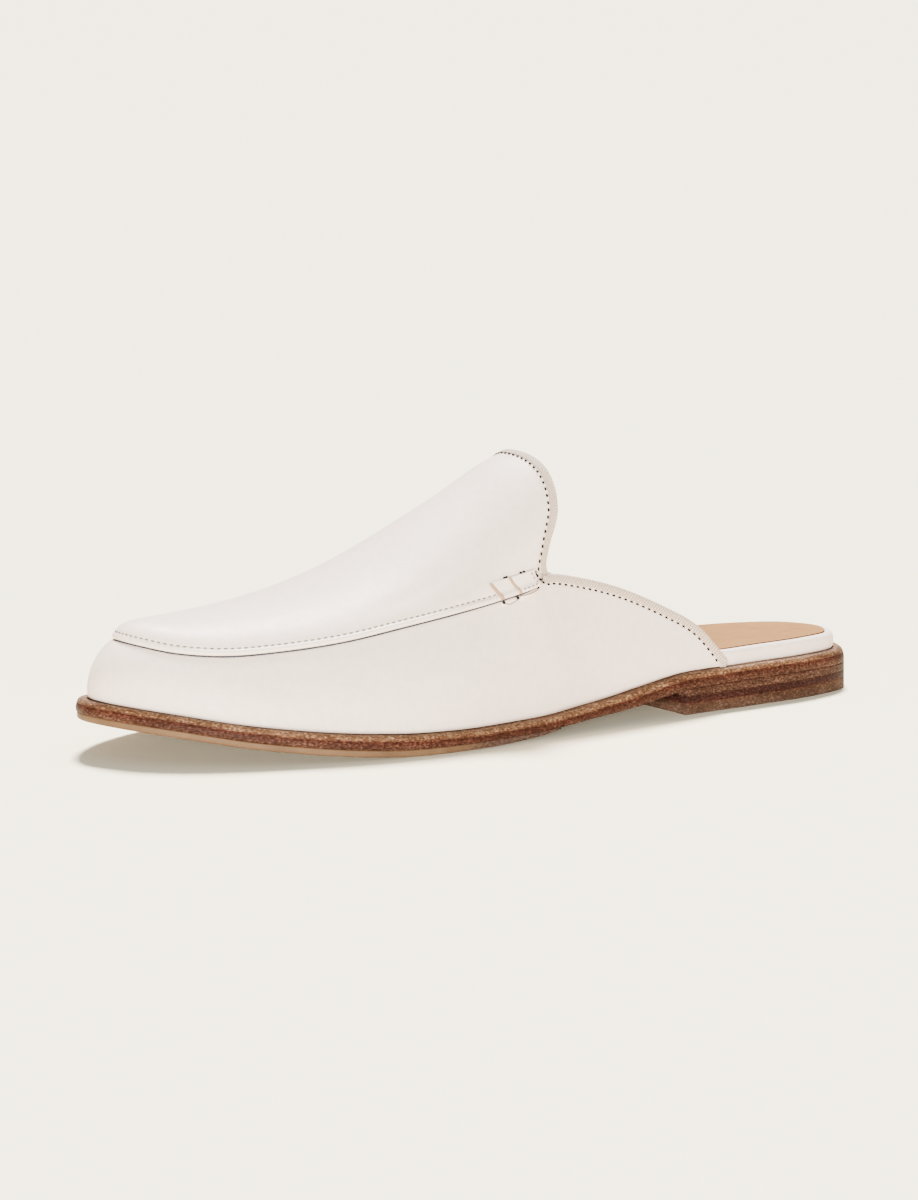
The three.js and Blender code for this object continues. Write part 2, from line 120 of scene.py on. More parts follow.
# %% Curves and charts
def smooth_curve(knots, closed=False):
    """A line through the knots, read at shares of it from 0 to 1."""
    knots = np.asarray(knots, float)
    count = len(knots)

    def at(share):
        walk = (count if closed else count - 1) * np.atleast_1d(np.asarray(share, float))
        first = np.floor(walk).astype(int)
        if not closed:
            first = np.minimum(first, count - 2)
        t = (walk - first)[:, None]
        if closed:
            p = [knots[(first + k) % count] for k in (-1, 0, 1, 2)]
        else:
            before, after = 2 * knots[0] - knots[1], 2 * knots[-1] - knots[-2]
            padded = np.vstack([before, knots, after])
            p = [padded[first + k] for k in (0, 1, 2, 3)]
        gaps = [np.sqrt(np.linalg.norm(p[k + 1] - p[k], axis=1))[:, None] for k in range(3)]
        middle = np.where(gaps[1] < 1e-4, 1.0, gaps[1])
        early = np.where(gaps[0] < 1e-4, middle, gaps[0])
        late = np.where(gaps[2] < 1e-4, middle, gaps[2])
        leave = (p[1] - p[0]) / early - (p[2] - p[0]) / (early + middle) + (p[2] - p[1]) / middle
        arrive = (p[2] - p[1]) / middle - (p[3] - p[1]) / (middle + late) + (p[3] - p[2]) / late
        leave, arrive = leave * middle, arrive * middle
        return ((2 * p[1] - 2 * p[2] + leave + arrive) * t ** 3
                + (3 * p[2] - 3 * p[1] - 2 * leave - arrive) * t ** 2 + leave * t + p[1])

    return at


def graph(at, value):
    """A chart through its rows, with no hump between them that the rows don't have."""
    at, value = np.asarray(at, float), np.asarray(value, float)
    secant = np.diff(value) / np.diff(at)
    slope = np.zeros(len(value))
    slope[0], slope[-1] = secant[0], secant[-1]
    for i in range(1, len(value) - 1):
        before, after = secant[i - 1], secant[i]
        slope[i] = 0 if before * after <= 0 else 2 * before * after / (before + after)

    def read(x):
        x = np.asarray(x, float)
        i = np.clip(np.searchsorted(at, x) - 1, 0, len(at) - 2)
        span = at[i + 1] - at[i]
        t = np.clip((x - at[i]) / span, 0, 1)
        return (value[i] * (2 * t ** 3 - 3 * t ** 2 + 1) + value[i + 1] * (3 * t ** 2 - 2 * t ** 3)
                + span * (slope[i] * (t ** 3 - 2 * t ** 2 + t) + slope[i + 1] * (t ** 3 - t ** 2)))

    return read


edge_height = graph(PROFILE[:, 0], PROFILE[:, 1])
leather_thickness = graph(PROFILE[:, 0], PROFILE[:, 2])
footbed_height = graph(PROFILE[:, 0], PROFILE[:, 3])
tread_thickness = graph(TREAD[:, 0], TREAD[:, 1])
print("half sole", round(float(tread_thickness(TREAD_START)), 2), "to", TREAD[:, 1].max(), "mm thick")


def smooth_step(x, low, high):
    """0 up to low, 1 from high on, and an easy slope between them."""
    t = np.clip((np.asarray(x, float) - low) / (high - low), 0, 1)
    return t * t * (3 - 2 * t)


def bump(x, middle, width):
    """A soft hill, 1 high, with its top at the middle."""
    return np.exp(-((np.asarray(x, float) - middle) / width) ** 2)


# %% [markdown]
# ## The outline, and the way into the frame
# A sole maker cuts every layer from one pattern, moved in by a few millimetres. So the outline
# is kept as one ring of points, each with the direction that leads out of the shoe there.
# `place` is the only step from a shoemaker's measures to the frame of the CAD model, where the
# toe points towards -Y and the outer side lies towards +X.

# %% The outline of the sole as one ring of points
RING_POINTS = 12 * len(OUTLINE)
ring_line = smooth_curve(OUTLINE[:, [1, 0]], closed=True)(np.arange(RING_POINTS) / RING_POINTS)
ring_ahead = np.roll(ring_line, -1, axis=0) - np.roll(ring_line, 1, axis=0)
ring_out = np.c_[ring_ahead[:, 1], -ring_ahead[:, 0]]
ring_out /= np.linalg.norm(ring_out, axis=1)[:, None]
MIDDLE = (ring_line[:, 0].max() + ring_line[:, 0].min()) / 2


def place(points):
    """Millimetres to the side, back and up become metres in the model's frame."""
    points = np.asarray(points, float)
    side, back, up = (points[..., axis] for axis in range(3))
    return np.stack([side - MIDDLE, SOLE_LENGTH / 2 - back, up], -1) / 1000


def moved_in(inset):
    return ring_line - ring_out * np.broadcast_to(inset, RING_POINTS)[:, None]


print("outline", RING_POINTS, "points, middle at", round(MIDDLE, 3))

# %% [markdown]
# ## Skins
# A flat grid that is pulled onto a surface is the quickest way to get even, tidy faces with
# a UV map that knows how far each point lies along and across the leather. `lay_grid` lays one
# such grid with the grid operator for each table of points; shared edges are welded when the
# piece is finished.

# %% Make a skin from tables of points
WELD = 2e-6  # metres


def lengths(points, axis):
    """How far each point of a table lies from the first, measured along one axis of the table."""
    steps = np.linalg.norm(np.diff(points, axis=axis), axis=2)
    start = np.zeros_like(np.take(steps, [0], axis=axis))
    return np.cumsum(np.concatenate([start, steps], axis=axis), axis=axis)


def lay_grid(mesh, points, uv=None, wraps=False):
    """Adds one grid to a bmesh; points are rows by columns of places in metres."""
    if wraps:
        points = np.concatenate([points, points[:, :1]], axis=1)
        if uv is not None:
            step = np.linalg.norm(points[:, -1] - points[:, -2], axis=1)
            last = np.stack([uv[:, -1, 0] + step, uv[:, 0, 1]], -1)
            uv = np.concatenate([uv, last[:, None]], axis=1)
    rows, columns = points.shape[:2]
    if uv is None:
        uv = np.stack([lengths(points, 1), lengths(points, 0)], -1)
    made = bmesh.ops.create_grid(mesh, x_segments=columns - 1, y_segments=rows - 1, size=1.0)
    layer = mesh.loops.layers.uv.verify()
    seat = {}
    for vertex in made["verts"]:
        column = round((vertex.co.x + 1) / 2 * (columns - 1))
        row = round((vertex.co.y + 1) / 2 * (rows - 1))
        seat[vertex] = (row, column)
    for face in {face for vertex in made["verts"] for face in vertex.link_faces}:
        for loop in face.loops:
            loop[layer].uv = uv[seat[loop.vert]]
    for vertex, (row, column) in seat.items():
        vertex.co = points[row, column]
    return made["verts"]


# %% [markdown]
# ## From a mesh to a piece of the shoe
# Every piece ends with the same steps, so they are written once: doubles are welded, faces are
# turned outwards and shaded smooth, and the piece gets its name and its finish. Thin leather
# gets its thickness from a Solidify modifier, and a Bevel takes the sharpness off a cut edge.
# `wear` then ties the piece to the model and hides the CAD nodes that it stands for.

# %% Finish a piece
FOOT_LINE = 0.018  # metres over the floor, the line that the upper wraps round


def from_axis(point):
    """The direction out of the shoe's inside."""
    return Vector((point.x, 0, point.z - FOOT_LINE))


def turn_outward(mesh, outward):
    """Reverses every face if the faces, taken together, look inwards."""
    mesh.normal_update()
    facing = sum(face.calc_area() * face.normal.dot(outward(face.calc_center_median()))
                 for face in mesh.faces)
    if facing < 0:
        bmesh.ops.reverse_faces(mesh, faces=mesh.faces)


def finish_piece(name, mesh, material, outward=None):
    """Turns a bmesh into an object, with its faces outwards and smooth."""
    bmesh.ops.remove_doubles(mesh, verts=mesh.verts, dist=WELD)
    bmesh.ops.dissolve_degenerate(mesh, edges=mesh.edges, dist=WELD)
    if outward is None:
        bmesh.ops.recalc_face_normals(mesh, faces=mesh.faces)
    else:
        turn_outward(mesh, outward)
    for face in mesh.faces:
        face.smooth = True
    data = bpy.data.meshes.new(name)
    mesh.to_mesh(data)
    mesh.free()
    piece = bpy.data.objects.new(name, data)
    bpy.context.scene.collection.objects.link(piece)
    for one in material if isinstance(material, (list, tuple)) else [material]:
        data.materials.append(one)
    print(name, len(data.polygons), "faces")
    return piece


def wear(piece, *nodes, slot):
    """The piece rides on the one body and stands for these CAD nodes; slot is not used."""
    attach(piece, "root")
    if nodes:
        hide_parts(*nodes)
    return piece


# %% Thickness and soft edges
def thicken(piece, thickness, rim_material=0):
    wall = piece.modifiers.new("wall", "SOLIDIFY")
    wall.thickness = thickness / 1000
    wall.offset = -1
    wall.material_offset_rim = rim_material
    return piece


def soften(piece, width, angle=40):
    edge = piece.modifiers.new("soft edges", "BEVEL")
    edge.width = width / 1000
    edge.segments = 2
    edge.limit_method = "ANGLE"
    edge.angle_limit = np.radians(angle)
    return piece


# %% [markdown]
# ## Finishes
# Every finish is a Principled shader whose colour, roughness and bump come from noise at the
# size of the real thing. Patterns that follow a strip, such as the ribs of the tape or the
# layers of the sole's edge, read the strip's own UV map, which holds metres.

# %% A small kit for making materials
class Finish:
    """One material, with short words for the nodes that the finishes of this shoe are made of."""

    def __init__(self, name, color, roughness, **settings):
        self.material = bpy.data.materials.new(name)
        self.material.use_nodes = True
        self.nodes = self.material.node_tree.nodes
        self.links = self.material.node_tree.links
        self.shader = self.nodes["Principled BSDF"]
        self.shader.inputs["Base Color"].default_value = (*color, 1)
        self.shader.inputs["Roughness"].default_value = roughness
        for key, value in settings.items():
            self.shader.inputs[key.replace("_", " ")].default_value = value
        self.normal = None

    def add(self, kind, **settings):
        """Adds a node; each setting is one of its properties or, failing that, an input."""
        node = self.nodes.new(kind)
        for key, value in settings.items():
            if hasattr(node, key):
                setattr(node, key, value)
            else:
                node.inputs[key.replace("_", " ")].default_value = value
        return node

    def link(self, source, target):
        self.links.new(source, target)

    def position(self, stretch=(1, 1, 1), source="Object"):
        where = self.add("ShaderNodeTexCoord").outputs[source]
        mapping = self.add("ShaderNodeMapping", Scale=stretch)
        self.link(where, mapping.inputs["Vector"])
        return mapping.outputs["Vector"]

    def noise(self, per_metre, detail=3, stretch=(1, 1, 1), source="Object", distortion=0.0):
        node = self.add("ShaderNodeTexNoise", Scale=per_metre, Detail=detail, Distortion=distortion)
        self.link(self.position(stretch, source), node.inputs["Vector"])
        return node.outputs["Fac"]

    def ramp(self, value, stops, ease="LINEAR"):
        node = self.add("ShaderNodeValToRGB")
        node.color_ramp.interpolation = ease
        while len(node.color_ramp.elements) < len(stops):
            node.color_ramp.elements.new(0.5)
        for element, (at, color) in zip(node.color_ramp.elements, stops):
            element.position = at
            element.color = (*color, 1) if len(color) == 3 else color
        self.link(value, node.inputs["Fac"])
        return node.outputs["Color"]

    def mix(self, amount, first, second, blend="MIX"):
        node = self.add("ShaderNodeMix", data_type="RGBA", blend_type=blend)
        for source, socket in ((amount, 0), (first, 6), (second, 7)):
            if isinstance(source, (int, float)):
                node.inputs[socket].default_value = source
            elif isinstance(source, tuple):
                node.inputs[socket].default_value = (*source, 1)
            else:
                self.link(source, node.inputs[socket])
        return node.outputs[2]

    def math(self, operation, first, second):
        node = self.add("ShaderNodeMath", operation=operation)
        for source, socket in ((first, 0), (second, 1)):
            if isinstance(source, (int, float)):
                node.inputs[socket].default_value = source
            else:
                self.link(source, node.inputs[socket])
        return node.outputs[0]

    def strip(self):
        """How far along and across a strip, in metres."""
        node = self.add("ShaderNodeSeparateXYZ")
        self.link(self.add("ShaderNodeTexCoord").outputs["UV"], node.inputs[0])
        return node.outputs[0], node.outputs[1]

    def color(self, value):
        self.link(value, self.shader.inputs["Base Color"])

    def roughness(self, value, low, high):
        node = self.add("ShaderNodeMapRange", To_Min=low, To_Max=high)
        self.link(value, node.inputs[0])
        self.link(node.outputs[0], self.shader.inputs["Roughness"])

    def bump(self, height, depth, strength=1.0):
        node = self.add("ShaderNodeBump", Strength=strength, Distance=depth)
        self.link(height, node.inputs["Height"])
        if self.normal is not None:
            self.link(self.normal, node.inputs["Normal"])
        self.normal = node.outputs["Normal"]
        self.link(self.normal, self.shader.inputs["Normal"])


# %% [markdown]
# The vamp is smooth, lightly finished white calf: an even off-white that is a little warmer
# in places, pores finer than a millimetre, and a soft sheen that is not quite even.

# %% White leather
WHITE_LIGHT, WHITE_SHADE = (0.8, 0.64, 0.53), (0.755, 0.6, 0.49)
PORES_PER_METRE = 1500.0


def white_leather():
    f = Finish("white_leather", WHITE_LIGHT, 0.55, Specular_IOR_Level=0.16)
    patches = f.ramp(f.noise(26, 3, distortion=0.4), [(0.35, WHITE_SHADE), (0.7, WHITE_LIGHT)])
    fine = f.ramp(f.noise(420, 4), [(0.3, (0.93, 0.925, 0.92)), (0.65, (1, 1, 1))])
    f.color(f.mix(1.0, patches, fine, "MULTIPLY"))
    f.roughness(f.noise(300, 3), 0.4, 0.58)
    f.bump(f.noise(55, 2), 0.0004, 0.25)
    pores = f.add("ShaderNodeTexVoronoi", Scale=PORES_PER_METRE, feature="F1")
    f.link(f.position(), pores.inputs["Vector"])
    f.bump(pores.outputs["Distance"], 0.00006, 0.5)
    f.bump(f.noise(900, 4), 0.00005, 0.5)
    return f.material


WHITE = white_leather()

# %% [markdown]
# The lining, the sock and the raw edges of cut strips are undyed vegetable tan. It is matt, its
# colour is cloudy, and its fibres run along the shoe, so the fine noise is stretched that way.
# The sock's cut edge is a thin dark line. A step on the strip's second UV coordinate, which is
# the depth under the sock's top, paints it without a piece of its own.

# %% Tan lining leather, sock leather and cut edges
def tan_leather(name, light, shade, roughness, shine=0.15, cut_edge=None, edge_depth=0.0):
    f = Finish(name, light, roughness, Specular_IOR_Level=shine)
    clouds = f.ramp(f.noise(34, 5, distortion=0.6), [(0.3, shade), (0.72, light)])
    fibres = f.ramp(f.noise(520, 5, stretch=(1, 0.35, 1)), [(0.25, (0.86, 0.84, 0.82)), (0.7, (1, 1, 1))])
    skin = f.mix(1.0, clouds, fibres, "MULTIPLY")
    if cut_edge:
        skin = f.mix(f.math("GREATER_THAN", f.strip()[1], edge_depth), skin, cut_edge)
    f.color(skin)
    f.roughness(f.noise(260, 3), roughness - 0.08, roughness + 0.1)
    f.bump(f.noise(700, 4), 0.00008, 0.55)
    return f.material


LINING = tan_leather("tan_lining", (0.27, 0.105, 0.03), (0.19, 0.065, 0.018), 0.62)
SOCK = tan_leather("tan_sock", (0.31, 0.158, 0.066), (0.275, 0.135, 0.053), 0.8, shine=0.0,
                   cut_edge=(0.06, 0.022, 0.01), edge_depth=0.00009)
RAW_EDGE = tan_leather("raw_edge", (0.37, 0.235, 0.135), (0.27, 0.165, 0.09), 0.75)

# %% [markdown]
# The edge of the sole is the richest finish of the shoe. The outsole's upper lip is a light tan,
# partly the leather left unstained and partly painted highlight where its top catches the light,
# and below it the fibre is stained and waxed a reddish brown that takes unevenly.
# The strip's second UV coordinate is the depth under the lip, so a colour ramp can follow it.
# The streaks use Object coordinates instead, since the UV map has no length across the lip.

# %% Burnished edge of the outsole and heel
DEEPEST = 0.008  # metres under the lip at which the colour bands end
STREAKS = [(0.36, (0.3, 0.2, 0.17)), (0.46, (0.75, 0.64, 0.58)), (0.54, (1.05, 1.05, 1.05)),
           (0.66, (2.6, 3.0, 3.2))]
BLOTCHES = [(0.35, (0.75, 0.68, 0.64)), (0.65, (1.25, 1.22, 1.2))]


def burnished(name, bands, grain=1.0, rough=0.5):
    """bands: share of the deepest depth, and the colour there."""
    f = Finish(name, bands[0][1], rough, Specular_IOR_Level=0.05)
    depth = f.strip()[1]
    waver = f.math("MULTIPLY", f.math("SUBTRACT", f.noise(60, 3, (1, 0.2, 1), "UV"), 0.5), 0.0012)
    layers = f.ramp(f.math("DIVIDE", f.math("ADD", depth, waver), DEEPEST), bands)
    streaks = f.ramp(f.noise(1900, 6, (0.6, 0.6, 1.3), distortion=0.35), STREAKS)
    blotches = f.ramp(f.noise(150, 4, (0.6, 0.6, 2.2), distortion=0.6), BLOTCHES)
    stained = f.mix(1.0, layers, blotches, "MULTIPLY")
    f.color(f.mix(0.8 * grain, stained, f.mix(1.0, stained, streaks, "MULTIPLY")))
    f.roughness(f.noise(700, 3, (0.4, 1, 1), "UV"), rough - 0.1, rough + 0.18)
    f.bump(f.noise(1300, 5, (0.5, 0.5, 1.3)), 0.00012, 0.7)
    return f.material


# The lip's tan is partly the unstained leather and partly painted highlight where the top of the edge
# catches the light.
LIP_TAN_AND_HIGHLIGHT, RED_BROWN = (0.125, 0.067, 0.034), (0.039, 0.0142, 0.0082)
OUTSOLE_EDGE = burnished("burnished_outsole", [
    (0.0, LIP_TAN_AND_HIGHLIGHT), (0.13, (0.1, 0.05, 0.026)), (0.19, (0.055, 0.023, 0.012)),
    (0.25, (0.035, 0.0102, 0.0054)), (0.34, RED_BROWN), (0.5, (0.041, 0.0175, 0.0102)),
    (0.7, (0.041, 0.0198, 0.0118))])
HEEL_EDGE = burnished("burnished_heel", [
    (0.0, (0.036, 0.0148, 0.0088)), (0.1, (0.038, 0.0172, 0.0102)), (0.3, (0.038, 0.0182, 0.011))])
DARK_EDGE = burnished("dark_heel_lift", [
    (0.0, (0.03, 0.0115, 0.0065)), (0.06, (0.0175, 0.0052, 0.0038)), (0.3, (0.026, 0.0085, 0.0058))])
HEEL_RUBBER = burnished("heel_rubber", [
    (0.0, (0.045, 0.018, 0.0095)), (0.08, (0.044, 0.0215, 0.0125)), (0.4, (0.052, 0.029, 0.018))],
    grain=0.7, rough=0.62)

# %% [markdown]
# The half sole is plain tan rubber, moulded and trimmed, so it is smoother and more even
# than the leather over it, with a fine buffed texture. Where it thins out towards the waist,
# under the arch, its colour turns over 20 mm to a darker mottled brown, which is painted shade.

# %% Tan rubber
# Along Y, the painted shade of the waist fades in between these two places.
TAN_UNTIL, SHADED_FROM = -0.041, -0.021  # metres along Y


def tan_rubber():
    f = Finish("tan_rubber", (0.13, 0.05, 0.018), 0.6, Specular_IOR_Level=0.15)
    tan = f.ramp(f.noise(160, 4), [(0.3, (0.088, 0.046, 0.02)), (0.7, (0.118, 0.063, 0.028))])
    # The second colour is painted shade: the rubber turns darker towards the waist, under the arch.
    waist_shade = f.ramp(f.noise(1500, 5, (0.6, 0.6, 1.3)), [(0.4, (0.03, 0.0125, 0.0075)),
                                                       (0.6, (0.085, 0.046, 0.029))])
    where = f.add("ShaderNodeSeparateXYZ")
    f.link(f.position(), where.inputs[0])
    waist = f.add("ShaderNodeMapRange", interpolation_type="SMOOTHSTEP",
                  From_Min=TAN_UNTIL, From_Max=SHADED_FROM)
    f.link(where.outputs[1], waist.inputs[0])
    f.color(f.mix(waist.outputs[0], tan, waist_shade))
    f.bump(f.noise(1600, 3), 0.00006, 0.6)
    return f.material


RUBBER = tan_rubber()

# %% [markdown]
# The topline is bound in grosgrain, a tape with raised ribs across it, and the gore is woven
# elastic with ribs of its own. The ribs are about a millimetre apart, so they are a sine wave
# over the strip's UV map, broken up a little by noise. The wave drives colour and bump alike:
# the colour darkens in the grooves between the ribs as painted shade.

# %% Grosgrain tape and woven elastic
def ribbed(name, light, groove, pitch, depth):
    f = Finish(name, light, 0.82, Sheen_Weight=0.1, Sheen_Roughness=0.5, Specular_IOR_Level=0.15)
    wobble = f.math("MULTIPLY", f.noise(900, 3, source="UV"), 0.5)
    turns = f.math("ADD", f.math("DIVIDE", f.strip()[1], pitch), wobble)
    rib = f.math("SINE", f.math("MULTIPLY", turns, 2 * np.pi), 0)
    height = f.math("ADD", f.math("MULTIPLY", rib, 0.5), 0.5)
    threads = f.math("MULTIPLY", f.noise(2600, 2, source="UV"), 0.35)
    # The groove colour is painted shade: the lower the rib, the darker the colour.
    f.color(f.mix(f.math("ADD", f.math("MULTIPLY", height, 0.7), threads), groove, light))
    f.bump(f.math("ADD", height, threads), depth, 0.8)
    return f.material


GROSGRAIN = ribbed("grosgrain", (0.6, 0.475, 0.365), (0.27, 0.175, 0.115), 0.00098, 0.00014)
ELASTIC = ribbed("beige_elastic", (0.4, 0.31, 0.24), (0.2, 0.145, 0.105), 0.0009, 0.0002)

# %% [markdown]
# The shoe is sewn with a waxed thread well under a millimetre thick. At that size all that
# shows of the thread is its colour, so each colour is one small noise between two shades: dark
# on the topline, grey on the apron and the gore, brown on the tan lining. One more colour made
# the same way is no thread but painted shade: a dark blue-grey for the gap under the apron's
# roll and for the creases of the lace wraps.

# %% Threads
def thread(name, color):
    f = Finish(name, color, 0.6, Specular_IOR_Level=0.1)
    f.color(f.ramp(f.noise(2400, 3), [(0.3, tuple(0.6 * c for c in color)), (0.7, color)]))
    f.bump(f.noise(3000, 2), 0.0001, 0.5)
    return f.material


# The dark thread's colour also paints the shade in the slits and under the loops of the lace wraps.
DARK_THREAD_AND_SHADE = thread("dark_thread", (0.008, 0.006, 0.006))
GREY_THREAD = thread("grey_thread", (0.13, 0.105, 0.095))
BROWN_THREAD = thread("brown_thread", (0.045, 0.014, 0.006))
# This colour is painted shade, not a thread: a dark blue-grey laid in the gap under the apron's roll and
# in the lace wraps' creases.
PAINTED_SHADE = thread("seam_shade", (0.036, 0.042, 0.056))
OUTLINE_THREAD = thread("loop_outline", (0.2, 0.15, 0.12))

# %% [markdown]
# ## The sole
# Each layer of the sole is a stack of rings: the outline moved in by a little, at a given
# height. The rings round the edge give the layer its rounded lip, a grid closes it above and
# below, and layers that stop at the heel's front are cut there by a plane.

# %% The two caps of a layer
CAP_ROWS = 18


def half_and_half(inset, height, crease=None):
    """A cap: straight rows between the outline's two halves, at a height that follows the length."""
    line = moved_in(inset)
    toe = RING_POINTS // 2
    outer, inner = line[:toe + 1], np.roll(line[::-1], 1, axis=0)[:toe + 1]
    share = np.linspace(0, 1, CAP_ROWS + 1)[:, None, None]
    flat = outer[None] * (1 - share) + inner[None] * share
    up = height(flat[..., 1])
    if crease is not None:
        up = up + crease(flat[..., 0], flat[..., 1]) * np.sin(np.pi * share[..., 0])
    return np.concatenate([flat, up[..., None]], axis=2)


# %% Build one layer of the sole
CAP_WELD = 2e-5  # metres
BURIED = 9.0  # how far in the first and last rings lie, well under the layers above
TOE_SIDE, HEEL_SIDE = 1, -1


def cut_flat(mesh, back, keep, top):
    """Ends a layer with a flat face across the shoe, and keeps one side of it."""
    cut = bmesh.ops.bisect_plane(
        mesh, geom=mesh.verts[:] + mesh.edges[:] + mesh.faces[:],
        plane_co=place((0, back, 0)), plane_no=(0, keep, 0), clear_outer=True)
    edges = [item for item in cut["geom_cut"] if isinstance(item, bmesh.types.BMEdge)]
    made = bmesh.ops.edgeloop_fill(mesh, edges=edges)["faces"]
    layer = mesh.loops.layers.uv.verify()
    for loop in (loop for face in made for loop in face.loops):
        loop[layer].uv = (loop.vert.co.x, float(top(back)) / 1000 - loop.vert.co.z)


def inset_along(inset):
    return inset(ring_line[:, 1]) if callable(inset) else inset


def sole_layer(name, material, top, bottom, rings, start=None, stop=None, crease=None, cap_drop=0.0):
    """rings: (inset, mm below the top) or (inset, mm above the bottom, "up"), from top to bottom."""
    rows, uv = [], []
    along = np.concatenate([[0], np.cumsum(np.linalg.norm(np.diff(ring_line, axis=0), axis=1))]) / 1000
    for inset, measure, *upwards in rings:
        line = moved_in(inset_along(inset))
        ceiling, ground = top(line[:, 1]), bottom(line[:, 1])
        half = np.maximum(ceiling - ground, 0.05) / 2
        height = ground + np.minimum(measure, half) if upwards else ceiling - np.minimum(measure, half)
        rows.append(np.c_[line, height])
        uv.append(np.c_[along, (ceiling - height) / 1000])
    mesh = bmesh.new()
    lay_grid(mesh, place(np.array(rows)), np.array(uv), wraps=True)
    caps = ((rings[0][0], lambda back: top(back) - cap_drop, crease), (rings[-1][0], bottom, None))
    for inset, height, marks in caps:
        cap = half_and_half(inset_along(inset), height, marks)
        cap_uv = np.stack([cap[..., 0] / 1000, (top(cap[..., 1]) - height(cap[..., 1])) / 1000], -1)
        lay_grid(mesh, place(cap), cap_uv)
    bmesh.ops.remove_doubles(mesh, verts=mesh.verts, dist=CAP_WELD)
    if start is not None:
        cut_flat(mesh, start, TOE_SIDE, top)
    if stop is not None:
        cut_flat(mesh, stop, HEEL_SIDE, top)
    return finish_piece(name, mesh, material)


# %% [markdown]
# The outsole is one piece of leather from toe to heel. Its edge stands out past the upper, and
# a shallow groove parts the light lip from the stained part, so the groove is one of its rings.
# At the tip of the toe and at the back of the heel the lip has been trimmed to lean in more,
# so each ring also says how much further in it goes there.

# %% Outsole
LIP_RINGS = [  # inset, how much more at the toe's tip and the heel's back, depth under the lip
    (1.4, 0.9, 0.02), (0.85, 0.85, 0.12), (0.48, 0.75, 0.34), (0.25, 0.62, 0.62), (0.1, 0.48, 1.0),
    (0.06, 0.35, 1.4), (0.16, 0.28, 1.6), (0.17, 0.25, 1.7), (0.03, 0.2, 1.86),
]
UNDER_UPPER = 3.6  # a flat ring there, hidden by the upper and the footbed


def outsole_bottom(back):
    return edge_height(back) - leather_thickness(back)


def drawn_in(inset, at_the_ends):
    return lambda back: inset + at_the_ends * (smooth_step(back, 222, 258) + 1 - smooth_step(back, 2, 26))


outsole = sole_layer("outsole_leather", OUTSOLE_EDGE, edge_height, outsole_bottom, [
    (BURIED, 0), (UNDER_UPPER, 0),
    *((drawn_in(inset, more), depth) for inset, more, depth in LIP_RINGS),
    (-0.02, 1.4, "up"), (0.0, 0.5, "up"), (0.06, 0.12, "up"), (0.25, 0.02, "up"), (0.9, 0, "up"),
    (BURIED, 0, "up")])
wear(outsole, "outsole", slot="burnished_leather")

# %% [markdown]
# The half sole is glued under the forefoot and trimmed a little inside the leather's edge. It
# is a layer like the others, cut off flat where it has thinned out under the waist. Its lower
# face never goes under the floor, so the shoe stands on it at the ball.

# %% Half sole under the forefoot
def tread_bottom(back):
    return np.maximum(outsole_bottom(back) - CAD_GAP - tread_thickness(back), 0)


half_sole = sole_layer("half_sole_rubber", RUBBER, outsole_bottom, tread_bottom, [
    (BURIED, 0), (0.9, 0), (0.5, 0.05), (0.34, 0.25), (0.3, 0.5), (0.3, 0.6, "up"), (0.42, 0.22, "up"),
    (0.75, 0.04, "up"), (1.2, 0, "up"), (BURIED, 0, "up")], start=TREAD_START)
wear(half_sole, "half_sole", slot="tan_rubber")

# %% [markdown]
# The heel is low and stacked: a leather base that carries on the line of the outsole, one dark
# lift, and a rubber top lift on the ground. All three end in the flat breast of the heel, and
# share one set of rings, which round their edges by less than a tenth of a millimetre.

# %% Stacked heel
EVEN_EDGE = [(BURIED, 0), (0.15, 0), (0.04, 0.02), (0.0, 0.09), (0.0, 0.4), (0.0, 0.4, "up"),
             (0.0, 0.09, "up"), (0.04, 0.02, "up"), (0.15, 0, "up"), (BURIED, 0, "up")]


def level(height):
    return lambda back: height + 0 * back


ground, lift_bottom, lift_top = level(0), level(HEEL_TOP_LIFT), level(HEEL_TOP_LIFT + HEEL_LIFT)
HEEL_LAYERS = [  # name, CAD node, finish, slot, top, bottom
    ("heel_base_leather", "heel_base", HEEL_EDGE, "burnished_leather", outsole_bottom, lift_top),
    ("heel_dark_lift", "heel_lift", DARK_EDGE, "dark_leather", lift_top, lift_bottom),
    ("heel_top_lift_rubber", "heel_top_lift", HEEL_RUBBER, "brown_rubber", lift_bottom, ground),
]
for name, node, finish, slot, top, bottom in HEEL_LAYERS:
    layer = sole_layer(name, finish, top, bottom, EVEN_EDGE, stop=HEEL_BREAST)
    wear(layer, node, slot=slot)

# %% [markdown]
# ## The footbed
# The footbed is a board wrapped in white leather, so its rim is round. Inside the wings it is
# narrower, because the upper's wall stands beside it, so each ring has two insets and passes
# from one to the other where the wings begin. Its top is sunk a little to take the sock.

# %% Footbed
SOCK_RECESS = 0.9
RIM_RINGS = [  # inset at the open heel, inset between the wings, depth under the top
    (6.55, 7.6, SOCK_RECESS), (6.35, 7.4, 0.6), (6.1, 7.1, 0.22), (5.7, 6.8, 0.02), (5.2, 6.4, 0.0),
    (4.6, 6.1, 0.12), (4.05, 5.8, 0.45), (3.7, 5.6, 0.95), (3.5, 5.5, 1.7),
]
RIM_FOOT = [  # the two insets, height over the outsole
    (3.45, 5.5, 1.4), (3.55, 5.5, 0.6), (3.85, 5.6, 0.12), (4.2, 5.8, 0.0),
]


def footbed_inset(open_inset, wing_inset):
    return lambda back: (open_inset + (wing_inset - open_inset)
                         * smooth_step(back, WING_START - 2.5, WING_START + 3.5))


def bed_top(back):
    return edge_height(back) + footbed_height(back)


